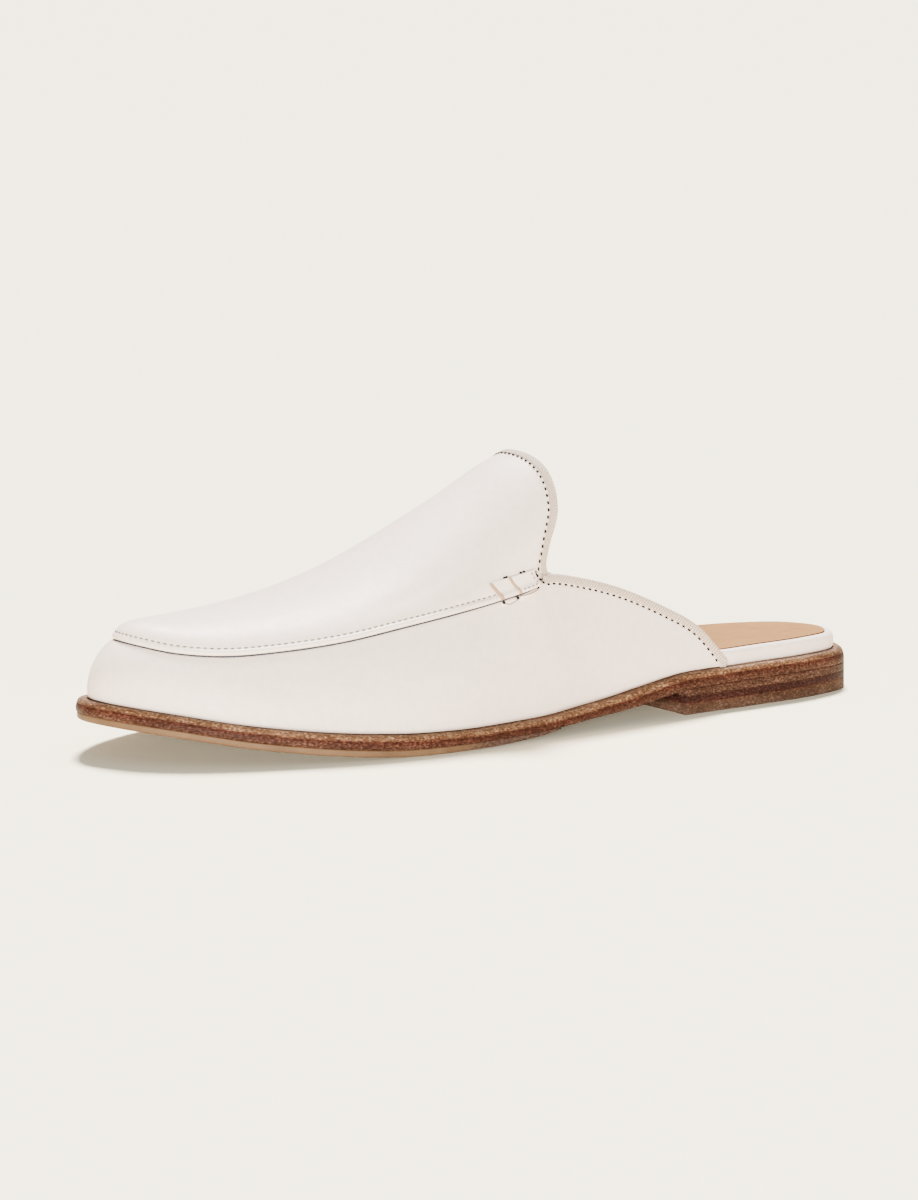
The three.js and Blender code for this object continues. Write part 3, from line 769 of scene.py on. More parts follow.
footbed = sole_layer("footbed_rim", WHITE, bed_top, edge_height, [
    (BURIED, SOCK_RECESS),
    *((footbed_inset(at_heel, at_wing), depth) for at_heel, at_wing, depth in RIM_RINGS),
    *((footbed_inset(at_heel, at_wing), height, "up") for at_heel, at_wing, height in RIM_FOOT),
    (BURIED, 0, "up")], cap_drop=SOCK_RECESS)
wear(footbed, "footbed", slot="white_leather")

# %% [markdown]
# The sock is the tan leather that the foot stands on. It lies in the recess and stands a third
# of a millimetre over the rim, so its cut edge reads as a thin line. Where the foot bends it,
# a few creases cross it. They are very soft, and each is a shallow valley in the cap's height.

# %% Sock lining
SOCK_OVER_RIM, SOCK_UNDER_RIM = 0.3, 0.85
CREASES = [  # back, lean, width, strength
    (44, 0.16, 1.5, 0.35), (50, 0.10, 1.5, 0.45), (56, 0.04, 1.6, 0.6), (61, -0.03, 1.4, 0.5),
    (66.5, 0.06, 1.6, 0.5), (72, 0.0, 1.8, 0.3),
]


def sock_creases(side, back):
    marks = 0.35 * smooth_step(back, 4, 30)
    for at, lean, width, strength in CREASES:
        line = back - lean * side - 0.5 * np.sin(side / 5 + at)
        marks = marks - 0.45 * strength * bump(line, at, width) * (0.6 + 0.4 * np.sin(side / 7 + 2 * at))
    return marks


def sock_top(back):
    return bed_top(back) + SOCK_OVER_RIM


def sock_bottom(back):
    return bed_top(back) - SOCK_UNDER_RIM


def sock_in(more):
    return footbed_inset(6.25 + more, 5.6 + more)


sock = sole_layer("sock_lining", SOCK, sock_top, sock_bottom, [
    (sock_in(0.4), 0), (sock_in(0.18), 0.03), (sock_in(0.06), 0.1), (sock_in(0.0), 0.2),
    (sock_in(0.0), 0, "up"), (BURIED, 0, "up")], crease=sock_creases)
wear(sock, slot="tan_leather")

# %% [markdown]
# ## The upper's surfaces
# The skirt is the leather that rises from the sole to the topline and the apron's seam. The
# apron is the panel over the instep, made of ribs from the seam to the crown. Both are read
# from tables like those of the CAD solid. Just above each notch the tongue is a little narrower
# than its ribs say, and `rib` draws it in there.

# %% Skirt sections and apron ribs
ROWS = len(TOP_EDGE)
TURNS = 2 * (ROWS - 1)
NOTCH = NOTCH_ROW / TURNS
top_line = smooth_curve(np.vstack([TOP_EDGE[:, [1, 0, 2]], TOP_EDGE[:-1, [4, 3, 5]][::-1]]))
flare_at = graph(np.arange(ROWS), TOP_EDGE[:, 6])
slope_at = graph(np.arange(ROWS), TOP_EDGE[:, 7])
crown_rows = np.arange(len(CROWN)) + NOTCH_ROW
crown_line = smooth_curve(CROWN[:, [1, 0, 2]])
spring_at, lead_at, lag_at, breadth_at = (graph(crown_rows, CROWN[:, k]) for k in (3, 4, 5, 6))
UP = np.array([0, 0, 1.0])
WAIST_DEPTH = 1.8


def row_of(u):
    return np.minimum(u, 1 - np.asarray(u)) * TURNS


def bezier(first, second, third, fourth, v):
    v = np.asarray(v)[:, None, None]
    w = 1 - v
    return w ** 3 * first + 3 * w * w * v * second + 3 * w * v * v * third + v ** 3 * fourth


def skirt(u, v):
    """Sections from the sole's crease up to the top edge, at shares u along that edge."""
    top = top_line(u)
    feather = moved_in(FEATHER_INSET)
    step = np.roll(feather, -1, axis=0) - feather
    reach = top[:, None, :2] - feather[None]
    share = np.clip((reach * step[None]).sum(2) / (step ** 2).sum(1), 0, 1)
    near = feather[None] + step[None] * share[..., None]
    pick = np.argmin(((near - top[:, None, :2]) ** 2).sum(2), axis=1)
    foot, ahead = near[np.arange(len(top)), pick], step[pick]
    inward = np.c_[-ahead[:, 1], ahead[:, 0], 0 * ahead[:, 0]]
    inward /= np.linalg.norm(inward, axis=1)[:, None]
    start = np.c_[foot, edge_height(foot[:, 1]) + CAD_GAP]
    flare, slope = flare_at(row_of(u))[:, None], np.radians(slope_at(row_of(u)))[:, None]
    arm = 0.36 * np.linalg.norm(top - start, axis=1)[:, None]
    return bezier(start, start + UP * arm - inward * flare,
                  top - inward * np.cos(slope) * arm - UP * np.sin(slope) * arm, top, v)


def rib(u, v):
    """Ribs from the apron's seam, or the tongue's edge, up to the crown line."""
    row = row_of(u)
    edge = top_line(u)
    crown = crown_line((row - NOTCH_ROW) / (len(CROWN) - 1))
    inward = (crown - edge) * [1, 1, 0]
    inward /= np.linalg.norm(inward, axis=1)[:, None]
    rise = edge + inward * lead_at(row)[:, None] + UP * spring_at(row)[:, None]
    rise[:, 1] -= lag_at(row)
    flat = edge + (crown - edge) * breadth_at(row)[:, None]
    flat[:, 1] = np.where(row < FAN_ROW, crown[:, 1], flat[:, 1])
    flat[:, 2] = crown[:, 2] - CROWN_SLOPE * np.maximum(flat[:, 1] - crown[:, 1], 0)
    lines = bezier(edge, rise, flat, crown, v)
    above = lines[..., 2] - lines[:1, :, 2]
    waist = smooth_step(above, 0.3, 4.5) * (1 - smooth_step(above, 9, 20))
    lines[..., 1] += WAIST_DEPTH * waist * (1 - smooth_step(row, 6, 8.5))
    return lines


# %% [markdown]
# Seams, stitches and folds are all measured from an edge, along the leather. `walk` puts points
# on a set of lines at true distances from their starts, which a curve's own share doesn't give.

# %% Measure along the leather
def walk(lines, distances):
    """Points at these distances along each column of lines."""
    so_far = lengths(lines, 0)
    found = np.empty((*distances.shape, 3))
    for column in range(lines.shape[1]):
        along = distances[:, column]
        for axis in range(3):
            found[:, column, axis] = np.interp(along, so_far[:, column], lines[:, column, axis])
    return found


def unit(vectors):
    return vectors / np.maximum(np.linalg.norm(vectors, axis=-1, keepdims=True), 1e-12)


FINE = np.linspace(0, 1, 161)
seam_length = float(lengths(top_line(np.linspace(NOTCH, 1 - NOTCH, 600))[:, None], 0)[-1, 0])
print("seam", round(seam_length, 1), "mm")

# %% [markdown]
# The normals below come from the grid itself: one difference along the seam, one across it.
# `raise_by` lifts a whole grid of points along them, which is how the roll, the stitch
# trough and the soft dents are laid onto a smooth surface.

# %% Lift a grid along its own normals
def grid_normals(points):
    return unit(np.cross(np.gradient(points, axis=1), np.gradient(points, axis=0)))


def raise_by(points, amount, outside):
    normals = grid_normals(points)
    facing = np.sum(normals * outside(points), axis=-1, keepdims=True)
    return points + normals * np.where(facing.sum() < 0, -1, 1) * np.asarray(amount)[..., None] / 1000


def away_from_axis(points):
    return points * [1, 0, 1] - np.array([0, 0, FOOT_LINE])


# %% [markdown]
# ## Skirt
# Each section is measured down from its top edge. The rows are crowded near that edge, where
# the leather dips under the apron's roll and, on the wings, under the row of stitches. The
# last rows tuck the leather in against the sole.

# %% Grid of the skirt
SKIRT_COLUMNS = 300
NEAR_EDGE = 6.0  # the crowded rows reach this far down
spread = np.linspace(0, 1, SKIRT_COLUMNS + 1)
skirt_u = np.sort(np.concatenate([spread[1:-1], [0, 1, NOTCH, 1 - NOTCH]]))
skirt_u = skirt_u[np.concatenate([[True], np.diff(skirt_u) > 1e-4])]
down = skirt(skirt_u, FINE[::-1])
height = lengths(down, 0)[-1]


def measured_down(near_edge=14, below=20):
    close = np.minimum(NEAR_EDGE, 0.45 * height)
    first = np.linspace(0, 1, near_edge + 1)[:, None] * close
    rest = close + np.linspace(0, 1, below + 1)[1:, None] * (height - close)
    return np.concatenate([first, rest])


skirt_depth = measured_down()
skirt_points = place(walk(down, skirt_depth))

# %% [markdown]
# Calf that is pulled over a last is never quite even. A few dents, a fifth of a millimetre deep
# and some centimetres long, are enough to bend the light on it. Each is a soft hill in a list
# of places, which is easier to steer than noise.

# %% Relief of the skirt
DENTS = [  # back, on the outer side, up, how wide, how tall, lean, depth
    (150, True, 24, 16, 2.6, 0.10, 0.22), (172, True, 19, 12, 2.2, -0.12, 0.2),
    (192, True, 22, 9, 3.0, 0.3, 0.18), (118, True, 26, 12, 3.4, 0.25, 0.16),
    (162, False, 24, 14, 2.6, 0.1, 0.22), (130, False, 28, 12, 3.0, -0.2, 0.2),
    (222, True, 22, 10, 2.2, 0.2, 0.14),
]


def soft_dent(points, back, outer, up, wide, tall, lean, depth):
    """A dent in the leather, placed by where it lies on the shoe."""
    x, y, z = (points[..., k] * 1000 for k in range(3))
    here = SOLE_LENGTH / 2 - y - back
    rise = z - up - lean * here
    on_side = smooth_step(x * (1 if outer else -1), 0, 8)
    return -depth * np.exp(-(here / wide) ** 2 - (rise / tall) ** 2) * on_side


skirt_rows = row_of(skirt_u)[None]
on_wing = 1 - smooth_step(skirt_rows, 5.6, 6.0)
under_roll = smooth_step(skirt_rows, 6.1, 6.6)
from_foot = height[None] - skirt_depth
relief = -0.42 * bump(skirt_depth, 0.2, 0.5) * under_roll - 0.16 * bump(skirt_depth, 2.5, 0.5) * on_wing
relief = relief - 0.3 * bump(from_foot, 0, 0.8) * smooth_step(height[None], 4, 9)
for dent in DENTS:
    relief = relief + soft_dent(skirt_points, *dent)
skirt_grid = raise_by(skirt_points, relief, away_from_axis)
print("skirt grid", skirt_grid.shape[:2])

# %% [markdown]
# The elastic gore sits in a V cut into the inner wing. Two planes through the V's edges split
# the faces there, and the faces between them are then removed. The lining is cut the same way.

# %% Cut the V for the gore
INNER_WING_FROM = 118  # no face ahead of this is cut


def v_place(point, side=0.0):
    return Vector(place((side, *point)))


def v_planes():
    """A point and a direction for each edge of the V; the directions point into the V."""
    for corner in (GORE_LOW, GORE_HIGH):
        edge = v_place(corner) - v_place(GORE_APEX)
        normal = edge.cross(Vector((1, 0, 0))).normalized()
        middle = (v_place(GORE_LOW) + v_place(GORE_HIGH)) / 2
        if normal.dot(middle - v_place(GORE_APEX)) < 0:
            normal.negate()
        yield v_place(GORE_APEX), normal


def inner_wing_faces(mesh):
    mouth = v_place((INNER_WING_FROM, 0)).y
    middles = [(face, face.calc_center_median()) for face in mesh.faces]
    return [face for face, middle in middles if middle.x < -0.005 and middle.y > mouth]


def cut_gore(mesh):
    for point, normal in v_planes():
        faces = inner_wing_faces(mesh)
        edges = {edge for face in faces for edge in face.edges}
        corners = {vertex for face in faces for vertex in face.verts}
        bmesh.ops.bisect_plane(mesh, geom=[*faces, *edges, *corners], dist=1e-6,
                               plane_co=point, plane_no=normal)
    inside = [face for face in inner_wing_faces(mesh)
              if all(normal.dot(face.calc_center_median() - point) > 0 for point, normal in v_planes())]
    bmesh.ops.delete(mesh, geom=inside, context="FACES")


# %% Skirt leather
mesh = bmesh.new()
lay_grid(mesh, skirt_grid)
cut_gore(mesh)
skirt_leather = finish_piece("skirt_leather", mesh, WHITE, from_axis)
thicken(skirt_leather, 1.2)
wear(skirt_leather, "upper", slot="white_leather")

# %% [markdown]
# ## Apron and tongue
# The apron's edge is turned under and stands up as a roll on the skirt. The first rows of the
# grid are that roll in section: how far into the apron, and how far over the surface. It
# fades out at the tongue's free edge, where the tape takes over. Columns stand closest together
# round the toe, where the seam bends most.

# %% Grid of the apron, measured from its seam
ROLL = np.array([(0.1, -0.4), (-0.05, 0.0), (-0.08, 0.3), (0.05, 0.65), (0.35, 0.92), (0.8, 1.02),
                 (1.2, 0.9), (1.5, 0.64), (1.74, 0.4), (2.05, 0.3), (2.4, 0.38), (2.95, 0.48)])
ROWS_BEYOND_ROLL = 28
side_rows = np.concatenate([np.linspace(6, 8, 25), np.linspace(8, 16, 116)[1:]])
apron_u = np.concatenate([side_rows, TURNS - side_rows[::-1][1:]]) / TURNS
ribs = rib(apron_u, FINE ** 1.25)
rib_length = lengths(ribs, 0)[-1]
grown = smooth_step(row_of(apron_u), 6.15, 6.9) * (1 - 0.35 * smooth_step(row_of(apron_u), 13, 16))
into = np.repeat(ROLL[:, :1], len(apron_u), axis=1)
share = np.linspace(0, 1, ROWS_BEYOND_ROLL + 1)[1:, None] ** 1.1
rest = into[-1] + share * (rib_length - into[-1])
settling = 0.48 * (1 - smooth_step(rest / rib_length, 0.08, 0.85))
into, over = np.concatenate([into, rest]), np.concatenate([ROLL[:, 1:] * grown, settling * grown])
flat = place(walk(ribs, np.maximum(into, 0)))
ahead = unit(place(ribs[6]) - place(ribs[0]))
flat = flat + ahead[None] * np.minimum(into, 0)[..., None] / 1000
print("apron grid", flat.shape[:2])

# %% [markdown]
# The roll must stand straight off the smooth apron, so its normals aren't taken from the grid,
# whose first rows are folded. They come from sixty even rows over the same ribs, and each point
# of the grid reads the two rows that it lies between.

# %% Normals of the smooth apron
EVEN_ROWS = 60
NO_NEARER = 0.8  # the fold itself uses the normal from this far in
smooth = place(walk(ribs, np.linspace(0, 1, EVEN_ROWS)[:, None] * rib_length))
normals = grid_normals(smooth)
normals = -normals if np.sum(normals * away_from_axis(smooth)) < 0 else normals
seat = np.clip(np.maximum(into, NO_NEARER) / rib_length, 0, 1) * (EVEN_ROWS - 1)
low_seat = np.minimum(seat.astype(int), EVEN_ROWS - 2)
columns, part = np.arange(len(apron_u))[None], (seat - low_seat)[..., None]
normals = unit(normals[low_seat, columns] * (1 - part) + normals[low_seat + 1, columns] * part)

# %% Apron leather with its rolled edge
APRON_WELD = 1e-4  # metres, wide enough to close the fan at the crown line's end
APRON_DENTS = [  # as for the skirt
    (168, True, 46, 9, 1.5, -0.35, 0.28), (178, True, 43, 8, 1.3, -0.25, 0.25),
    (160, True, 51, 8, 1.6, -0.45, 0.22), (188, False, 41, 10, 1.4, -0.2, 0.25),
    (146, True, 56, 10, 2.5, -0.5, 0.2),
]
for dent in APRON_DENTS:
    over = over + soft_dent(flat, *dent) * smooth_step(into, 3, 6)
mesh = bmesh.new()
lay_grid(mesh, flat + normals * over[..., None] / 1000)
bmesh.ops.remove_doubles(mesh, verts=mesh.verts, dist=APRON_WELD)
apron = finish_piece("apron_leather", mesh, WHITE, from_axis)
thicken(apron, 0.9)
wear(apron, slot="white_leather")

# %% [markdown]
# ## Lining
# The lining follows the same surfaces without their relief. Skirt and apron are welded along
# the seam first, and then every point moves inwards along its own normal by the thickness of
# the outer leather.

# %% Tan lining
LINING_DEPTH = 1.5
LINING_WELD = 6e-5  # metres
lining_down = walk(down, np.linspace(0, 1, 25)[:, None] * height)
mesh = bmesh.new()
lay_grid(mesh, place(lining_down))
outer_half = skirt_u[(skirt_u >= NOTCH - 1e-9) & (skirt_u <= 0.5 + 1e-9)]
inner_half = skirt_u[(skirt_u <= 1 - NOTCH + 1e-9) & (skirt_u >= 0.5 - 1e-9)]
for half in (outer_half, inner_half):
    ribs = rib(half, FINE)
    lay_grid(mesh, place(walk(ribs, np.linspace(0, 1, 21)[:, None] * lengths(ribs, 0)[-1])))
bmesh.ops.remove_doubles(mesh, verts=mesh.verts, dist=LINING_WELD)
cut_gore(mesh)
bmesh.ops.recalc_face_normals(mesh, faces=mesh.faces)
turn_outward(mesh, from_axis)
mesh.normal_update()
moves = {vertex: vertex.normal.copy() for vertex in mesh.verts}
for vertex, normal in moves.items():
    vertex.co -= normal * LINING_DEPTH / 1000
lining = finish_piece("upper_lining", mesh, LINING, from_axis)
thicken(lining, 0.4)
wear(lining, slot="tan_leather")

# %% [markdown]
# ## Surfaces to sew on
# Stitches and tape need to sit exactly on the leather, whatever relief it has. A search tree
# of each skin answers where the nearest point of the leather is, and which way it faces.

# %% Search trees of the skins
def surface_of(piece):
    corners = [vertex.co.copy() for vertex in piece.data.vertices]
    return BVHTree.FromPolygons(corners, [tuple(face.vertices) for face in piece.data.polygons])


def surface_of_grid(points):
    mesh = bmesh.new()
    lay_grid(mesh, points)
    mesh.normal_update()
    surface = BVHTree.FromBMesh(mesh)
    mesh.free()
    return surface


skirt_surface, apron_surface = surface_of(skirt_leather), surface_of(apron)


def settle(points, *surfaces):
    """Nearest points on the surfaces, with their normals."""
    found, facing = [], []
    for point in points:
        hits = [surface.find_nearest(Vector(point)) for surface in surfaces]
        seat, normal, _, _ = min(hits, key=lambda hit: hit[3])
        found.append(seat)
        facing.append(normal)
    return np.array(found), np.array(facing)


# %% [markdown]
# A path for tape or thread is a row of places. Both have an even pitch, so the path is read
# again at even steps, and where it turns too sharply for tape it is smoothed by a running
# average whose ends stay where they are.

# %% Even and relaxed paths
def even_path(points, pitch):
    """The same path with evenly spaced stations, in metres."""
    so_far = np.concatenate([[0], np.cumsum(np.linalg.norm(np.diff(points, axis=0), axis=1))])
    at = np.linspace(0, so_far[-1], max(int(round(so_far[-1] / pitch)), 2) + 1)
    return np.stack([np.interp(at, so_far, points[:, k]) for k in range(points.shape[1])], -1)


def relaxed(values, pitch, reach):
    """A running average over the reach, with straight run-outs so that the ends stay."""
    half = max(int(2.5 * reach / pitch), 1)
    weights = np.exp(-(np.arange(-half, half + 1) * pitch / reach) ** 2)
    weights /= weights.sum()
    early = 2 * values[0] - values[1:half + 1][::-1]
    late = 2 * values[-1] - values[-half - 1:-1][::-1]
    padded = np.concatenate([early, values, late])
    return np.stack([np.convolve(padded[:, k], weights, "valid") for k in range(values.shape[1])], -1)


# %% [markdown]
# `sweep` drags a closed profile along a path, each profile point given as a distance into the
# leather and a distance over it. It makes the tape and the thin dark line of painted shade in the
# seam, and on the lace wraps the painted shade of the creases, the raw edges and the outlines of
# the loops.

# %% Sweep a profile along a path
ROUND = np.linspace(0, 2 * np.pi, 8, endpoint=False)


def oval(half_wide, half_tall):
    return np.c_[half_wide * np.cos(ROUND), half_tall * np.sin(ROUND)]


def sweep(name, path, into, over, profile, material, slot):
    profile = np.asarray(profile, float) / 1000
    points = path[:, None] + into[:, None] * profile[None, :, :1] + over[:, None] * profile[None, :, 1:]
    round_it = np.broadcast_to(lengths(points, 1).mean(0), points.shape[:2])
    mesh = bmesh.new()
    lay_grid(mesh, points, np.stack([round_it, lengths(points, 0)], -1), wraps=True)
    bmesh.ops.remove_doubles(mesh, verts=mesh.verts, dist=WELD)
    bmesh.ops.holes_fill(mesh, edges=[edge for edge in mesh.edges if edge.is_boundary], sides=0)
    return wear(finish_piece(name, mesh, material), slot=slot)


def frames(path, into):
    """At each station, the directions into the leather and over it, square to the path."""
    ahead = unit(np.gradient(path, axis=0))
    over = unit(np.cross(ahead, into))
    return unit(np.cross(over, ahead)), over


# %% [markdown]
# ## The topline and its tape
# The free edge runs up the outer wing, round the notch, over the tongue and down the inner
# wing. At the notch the path is relaxed a little, since tape cannot turn a sharp corner. The
# tape stops at the gore's upper corner and starts again below it.

# %% The path of the free edge
STATION = 0.0005  # metres between stations of the path
TAPE_TURN = 0.0016  # metres over which a sharp turn is eased
GORE_TOP_ROW, GORE_FOOT_ROW = 3.05, 2.0  # rows of the top edge where the tape stops and starts


def wing_edge(u):
    below = walk(skirt(u, FINE[::-1]), np.full((1, len(u)), 1.5))
    return place(top_line(u)), place(below)[0]


def tongue_edge(outer):
    at, inside = NOTCH, (NOTCH_ROW + 0.25) / TURNS
    if not outer:
        at, inside = 1 - at, 1 - inside
    return place(rib(np.array([at]), FINE)[:, 0]), place(rib(np.array([inside]), FINE)[:, 0])


def nearest_station(place_wanted):
    return int(np.argmin(np.linalg.norm(rim - place_wanted, axis=1)))


outer_edge, outer_below = wing_edge(np.linspace(0, NOTCH, 120))
inner_edge, inner_below = wing_edge(np.linspace(1 - NOTCH, 1, 160))
up_tongue, up_tongue_in = tongue_edge(outer=True)
down_tongue, down_tongue_in = (points[::-1] for points in tongue_edge(outer=False))
edge = np.concatenate([outer_edge, up_tongue[1:], down_tongue[1:], inner_edge[1:]])
below = np.concatenate([outer_below, up_tongue_in[1:], down_tongue_in[1:], inner_below[1:]])
both = even_path(np.hstack([edge, unit(below - edge) * 0.01]), STATION)
both = relaxed(both, STATION, TAPE_TURN)
rim = both[:, :3]
rim_into, rim_over = frames(rim, both[:, 3:])
high_at = nearest_station(wing_edge(np.array([1 - GORE_TOP_ROW / TURNS]))[0])
low_at = nearest_station(wing_edge(np.array([1 - GORE_FOOT_ROW / TURNS]))[0])
print("rim", len(rim), "stations, gore between", high_at, "and", low_at)

# %% [markdown]
# The tape is folded over the edge: 2 mm of it lies on the outer leather and 3 mm on the lining.
# Its section is drawn once and swept along the path. Both ends of the topline run on for almost
# 2 mm, so that they are tucked down beside the footbed.

# %% Grosgrain binding
TAPE = [  # into the leather, over it
    (2.0, -0.05), (1.98, 0.22), (1.8, 0.36), (1.4, 0.4), (0.8, 0.44), (0.3, 0.46), (-0.2, 0.36),
    (-0.62, 0.0), (-0.76, -0.7), (-0.7, -1.45), (-0.35, -2.0), (0.3, -2.28), (1.2, -2.3),
    (2.2, -2.26), (2.8, -2.22), (2.98, -2.05), (2.98, -1.85), (2.0, -1.2), (2.0, -0.6),
]


def run_to_sole(path, into, over, at_start):
    """Carries one end of the tape down to the sole's ledge."""
    end = 0 if at_start else -1
    fall = unit(np.array([0, 0.0002, -1.0]))
    more = path[end] + fall * np.linspace(0.0017, 0.0005, 4)[:, None]
    into_more, over_more = (np.tile(way[end], (len(more), 1)) for way in (into, over))
    if at_start:
        return np.vstack([more, path]), np.vstack([into_more, into]), np.vstack([over_more, over])
    return np.vstack([path, more[::-1]]), np.vstack([into, into_more]), np.vstack([over, over_more])


before_gore, after_gore = slice(None, high_at + 1), slice(low_at, None)
long_run = run_to_sole(rim[before_gore], rim_into[before_gore], rim_over[before_gore], True)
short_run = run_to_sole(rim[after_gore], rim_into[after_gore], rim_over[after_gore], False)
sweep("topline_binding", *long_run, TAPE, GROSGRAIN, "beige_elastic")
sweep("inner_foot_binding", *short_run, TAPE, GROSGRAIN, "beige_elastic")

# %% [markdown]
# ## Stitches
# One stitch is a short, low-poly sphere stretched along its seam and half sunk in the leather.
# There are several hundred, so each has only two dozen faces.

# %% Sew a row of stitches
def sew(name, path, pitch, length, width, material, *surfaces, sink=0.25, flip=False, slot="dark_thread"):
    """sink is how much of its width a stitch lies in the leather; flip sews the surface's back."""
    stations = even_path(path, pitch)
    ahead = unit(np.gradient(stations, axis=0))
    seats, facing = settle(stations, *surfaces)
    mesh = bmesh.new()
    for seat, along, normal in zip(seats, ahead, facing):
        up = Vector(-normal if flip else normal)
        across = up.cross(Vector(along)).normalized()
        forward = across.cross(up).normalized()
        turn = Matrix((forward, across, up)).transposed().to_4x4()
        turn.translation = Vector(seat) + up * width * (0.5 - sink) / 1000
        size = Matrix.Diagonal((length / 2000, width / 2000, width / 2400, 1))
        bmesh.ops.create_uvsphere(mesh, u_segments=6, v_segments=4, radius=1.0,
                                  matrix=turn @ size @ Matrix.Rotation(np.pi / 2, 4, "Y"))
    return wear(finish_piece(name, mesh, material), slot=slot)


# %% [markdown]
# One row runs along the tape, 2.5 mm from the edge. Just above each notch it swings further in,
# up to 6 mm, to pass behind the lace wraps' ends. Inside the shoe the same seam shows brown on
# the lining. Its stitches are lifted through the lining's thickness, so `sink` is negative.

# %% Stitches of the topline
TOPLINE_PITCH = 0.00235  # metres
DARK_STITCH, BROWN_STITCH = (1.3, 0.76), (1.15, 0.42)  # length, width
FROM_EDGE, SWING = 0.0025, 0.0035  # metres
THROUGH_LINING = -1.0
stations = np.arange(len(rim))
up_turn, down_turn = (nearest_station(place(top_line(np.array([u])))) for u in (NOTCH, 1 - NOTCH))
beyond = np.maximum(stations - up_turn, 0) * STATION
before = np.maximum(down_turn - stations, 0) * STATION
drift = sum(smooth_step(reach, 0.0, 0.002) * (1 - smooth_step(reach, 0.005, 0.018))
            for reach in (beyond, before))
outer_line = rim + rim_into * (FROM_EDGE + SWING * drift)[:, None]
inside_line = rim + rim_into * 0.0037 - rim_over * 0.0019
lining_surface = surface_of(lining)
topline, foot = slice(8, high_at - int(0.003 / STATION)), slice(low_at + 6, -8)
sew("topline_stitches", outer_line[topline], TOPLINE_PITCH, *DARK_STITCH, DARK_THREAD_AND_SHADE,
    skirt_surface, apron_surface)
sew("inner_foot_stitches", outer_line[foot], TOPLINE_PITCH, *DARK_STITCH, DARK_THREAD_AND_SHADE, skirt_surface)
for name, stretch in (("inside_stitches", topline), ("inside_foot_stitches", foot)):
    sew(name, inside_line[stretch], TOPLINE_PITCH, *BROWN_STITCH, BROWN_THREAD, lining_surface,
        sink=THROUGH_LINING, flip=True)

# %% [markdown]
# The apron is sewn down with small grey stitches in the trough beside its roll. Where the roll
# meets the skirt the gap is in shade and reads as a thin dark line, so a thin dark tube of painted
# shade is laid in it. It starts and ends with the roll, a little way from each notch.

# %% Stitches and painted shade line of the apron seam
STITCH_TROUGH, WRAPS_END = 2.1, 8.05
seam_u = np.linspace(6.35, 25.65, 900) / TURNS
seam_in = place(walk(rib(seam_u, FINE), np.full((1, len(seam_u)), STITCH_TROUGH)))[0]
sew("seam_stitches", seam_in[row_of(seam_u) > WRAPS_END], 0.002, 1.3, 0.46, GREY_THREAD, apron_surface,
    sink=0.3)
seam_down = place(walk(skirt(seam_u, FINE[::-1]), np.full((1, len(seam_u)), 0.12)))[0]
line, line_over = settle(even_path(seam_down, 0.001), skirt_surface)
line_into = unit(np.cross(line_over, np.gradient(line, axis=0)))
# A thin dark tube of painted shade in the gap where the roll meets the skirt.
sweep("seam_shade_line", line, line_into, line_over, oval(0.42, 0.27), PAINTED_SHADE, "dark_thread")

# %% [markdown]
# ## Elastic gore
# The gore is a V of ribbed elastic behind the leather of the inner wing. Rays sent from the
# inner side find the wing's surface, and the elastic lies a little under it. Its ribs run
# beside the straight free edge, so its UV map is turned to match that edge.

# %% Elastic in the inner wing
low, high, apex = (np.array(point) for point in (GORE_LOW, GORE_HIGH, GORE_APEX))
mouth_way = (high - low) / np.linalg.norm(high - low)
inwards_way = np.array([mouth_way[1], -mouth_way[0]])
GORE_UNDER, GORE_SLACK = 1.25, 0.5
WELL_OUTSIDE, NEAR_WING = -90.0, -23.0
wing_surface = surface_of_grid(place(lining_down))
rows_in, across = np.linspace(0, 0.97, 48), np.linspace(0, 1, 27)
gore_points = np.empty((len(rows_in), len(across), 3))
gore_uv = np.empty((len(rows_in), len(across), 2))
for i, t in enumerate(rows_in):
    for j, s in enumerate(across):
        point = (1 - t) * (low + s * (high - low)) + t * apex
        spare = 0.7 + 1.8 * float(smooth_step(t, 0, 0.2))
        point = point + mouth_way * (2 * s - 1) * spare
        hit = wing_surface.ray_cast(v_place(point, side=WELL_OUTSIDE), Vector((1, 0, 0)))[0]
        if hit is None:
            hit = wing_surface.find_nearest(v_place(point, side=NEAR_WING))[0]
        under = GORE_UNDER + GORE_SLACK * np.sin(np.pi * s) * (1 - t)
        _, y, z = v_place(point)
        gore_points[i, j] = (hit.x + under / 1000, y, z)
        gore_uv[i, j] = (point @ mouth_way / 1000, point @ inwards_way / 1000)
mesh = bmesh.new()
lay_grid(mesh, gore_points, gore_uv)
gore = finish_piece("elastic_gore_ribbed", mesh, ELASTIC, lambda point: Vector((-1, 0, 0)))
thicken(gore, 0.9)
wear(gore, "elastic_gore", slot="beige_elastic")

# %% [markdown]
# Two rows of stitches follow each edge of the V, and hold leather, elastic and lining together.
# So the same lines are sewn twice: in grey on the leather, in brown on the lining.

# %% Stitches along the V, inside and outside
V_STITCH = (0.0023, 1.2, 0.4)  # pitch in metres, length, width
FROM_V_EDGE = (("first", 1.3), ("second", 3.0))


def v_line(corner, away, start=0.05, end=0.93):
    reach = apex - corner
    off = np.array([reach[1], -reach[0]]) / np.linalg.norm(reach)
    off = off if ((low + high) / 2 - corner) @ off < 0 else -off
    points = corner + np.linspace(start, end, 60)[:, None] * reach + off * away
    return np.array([v_place(point, side=-24.5) for point in points])


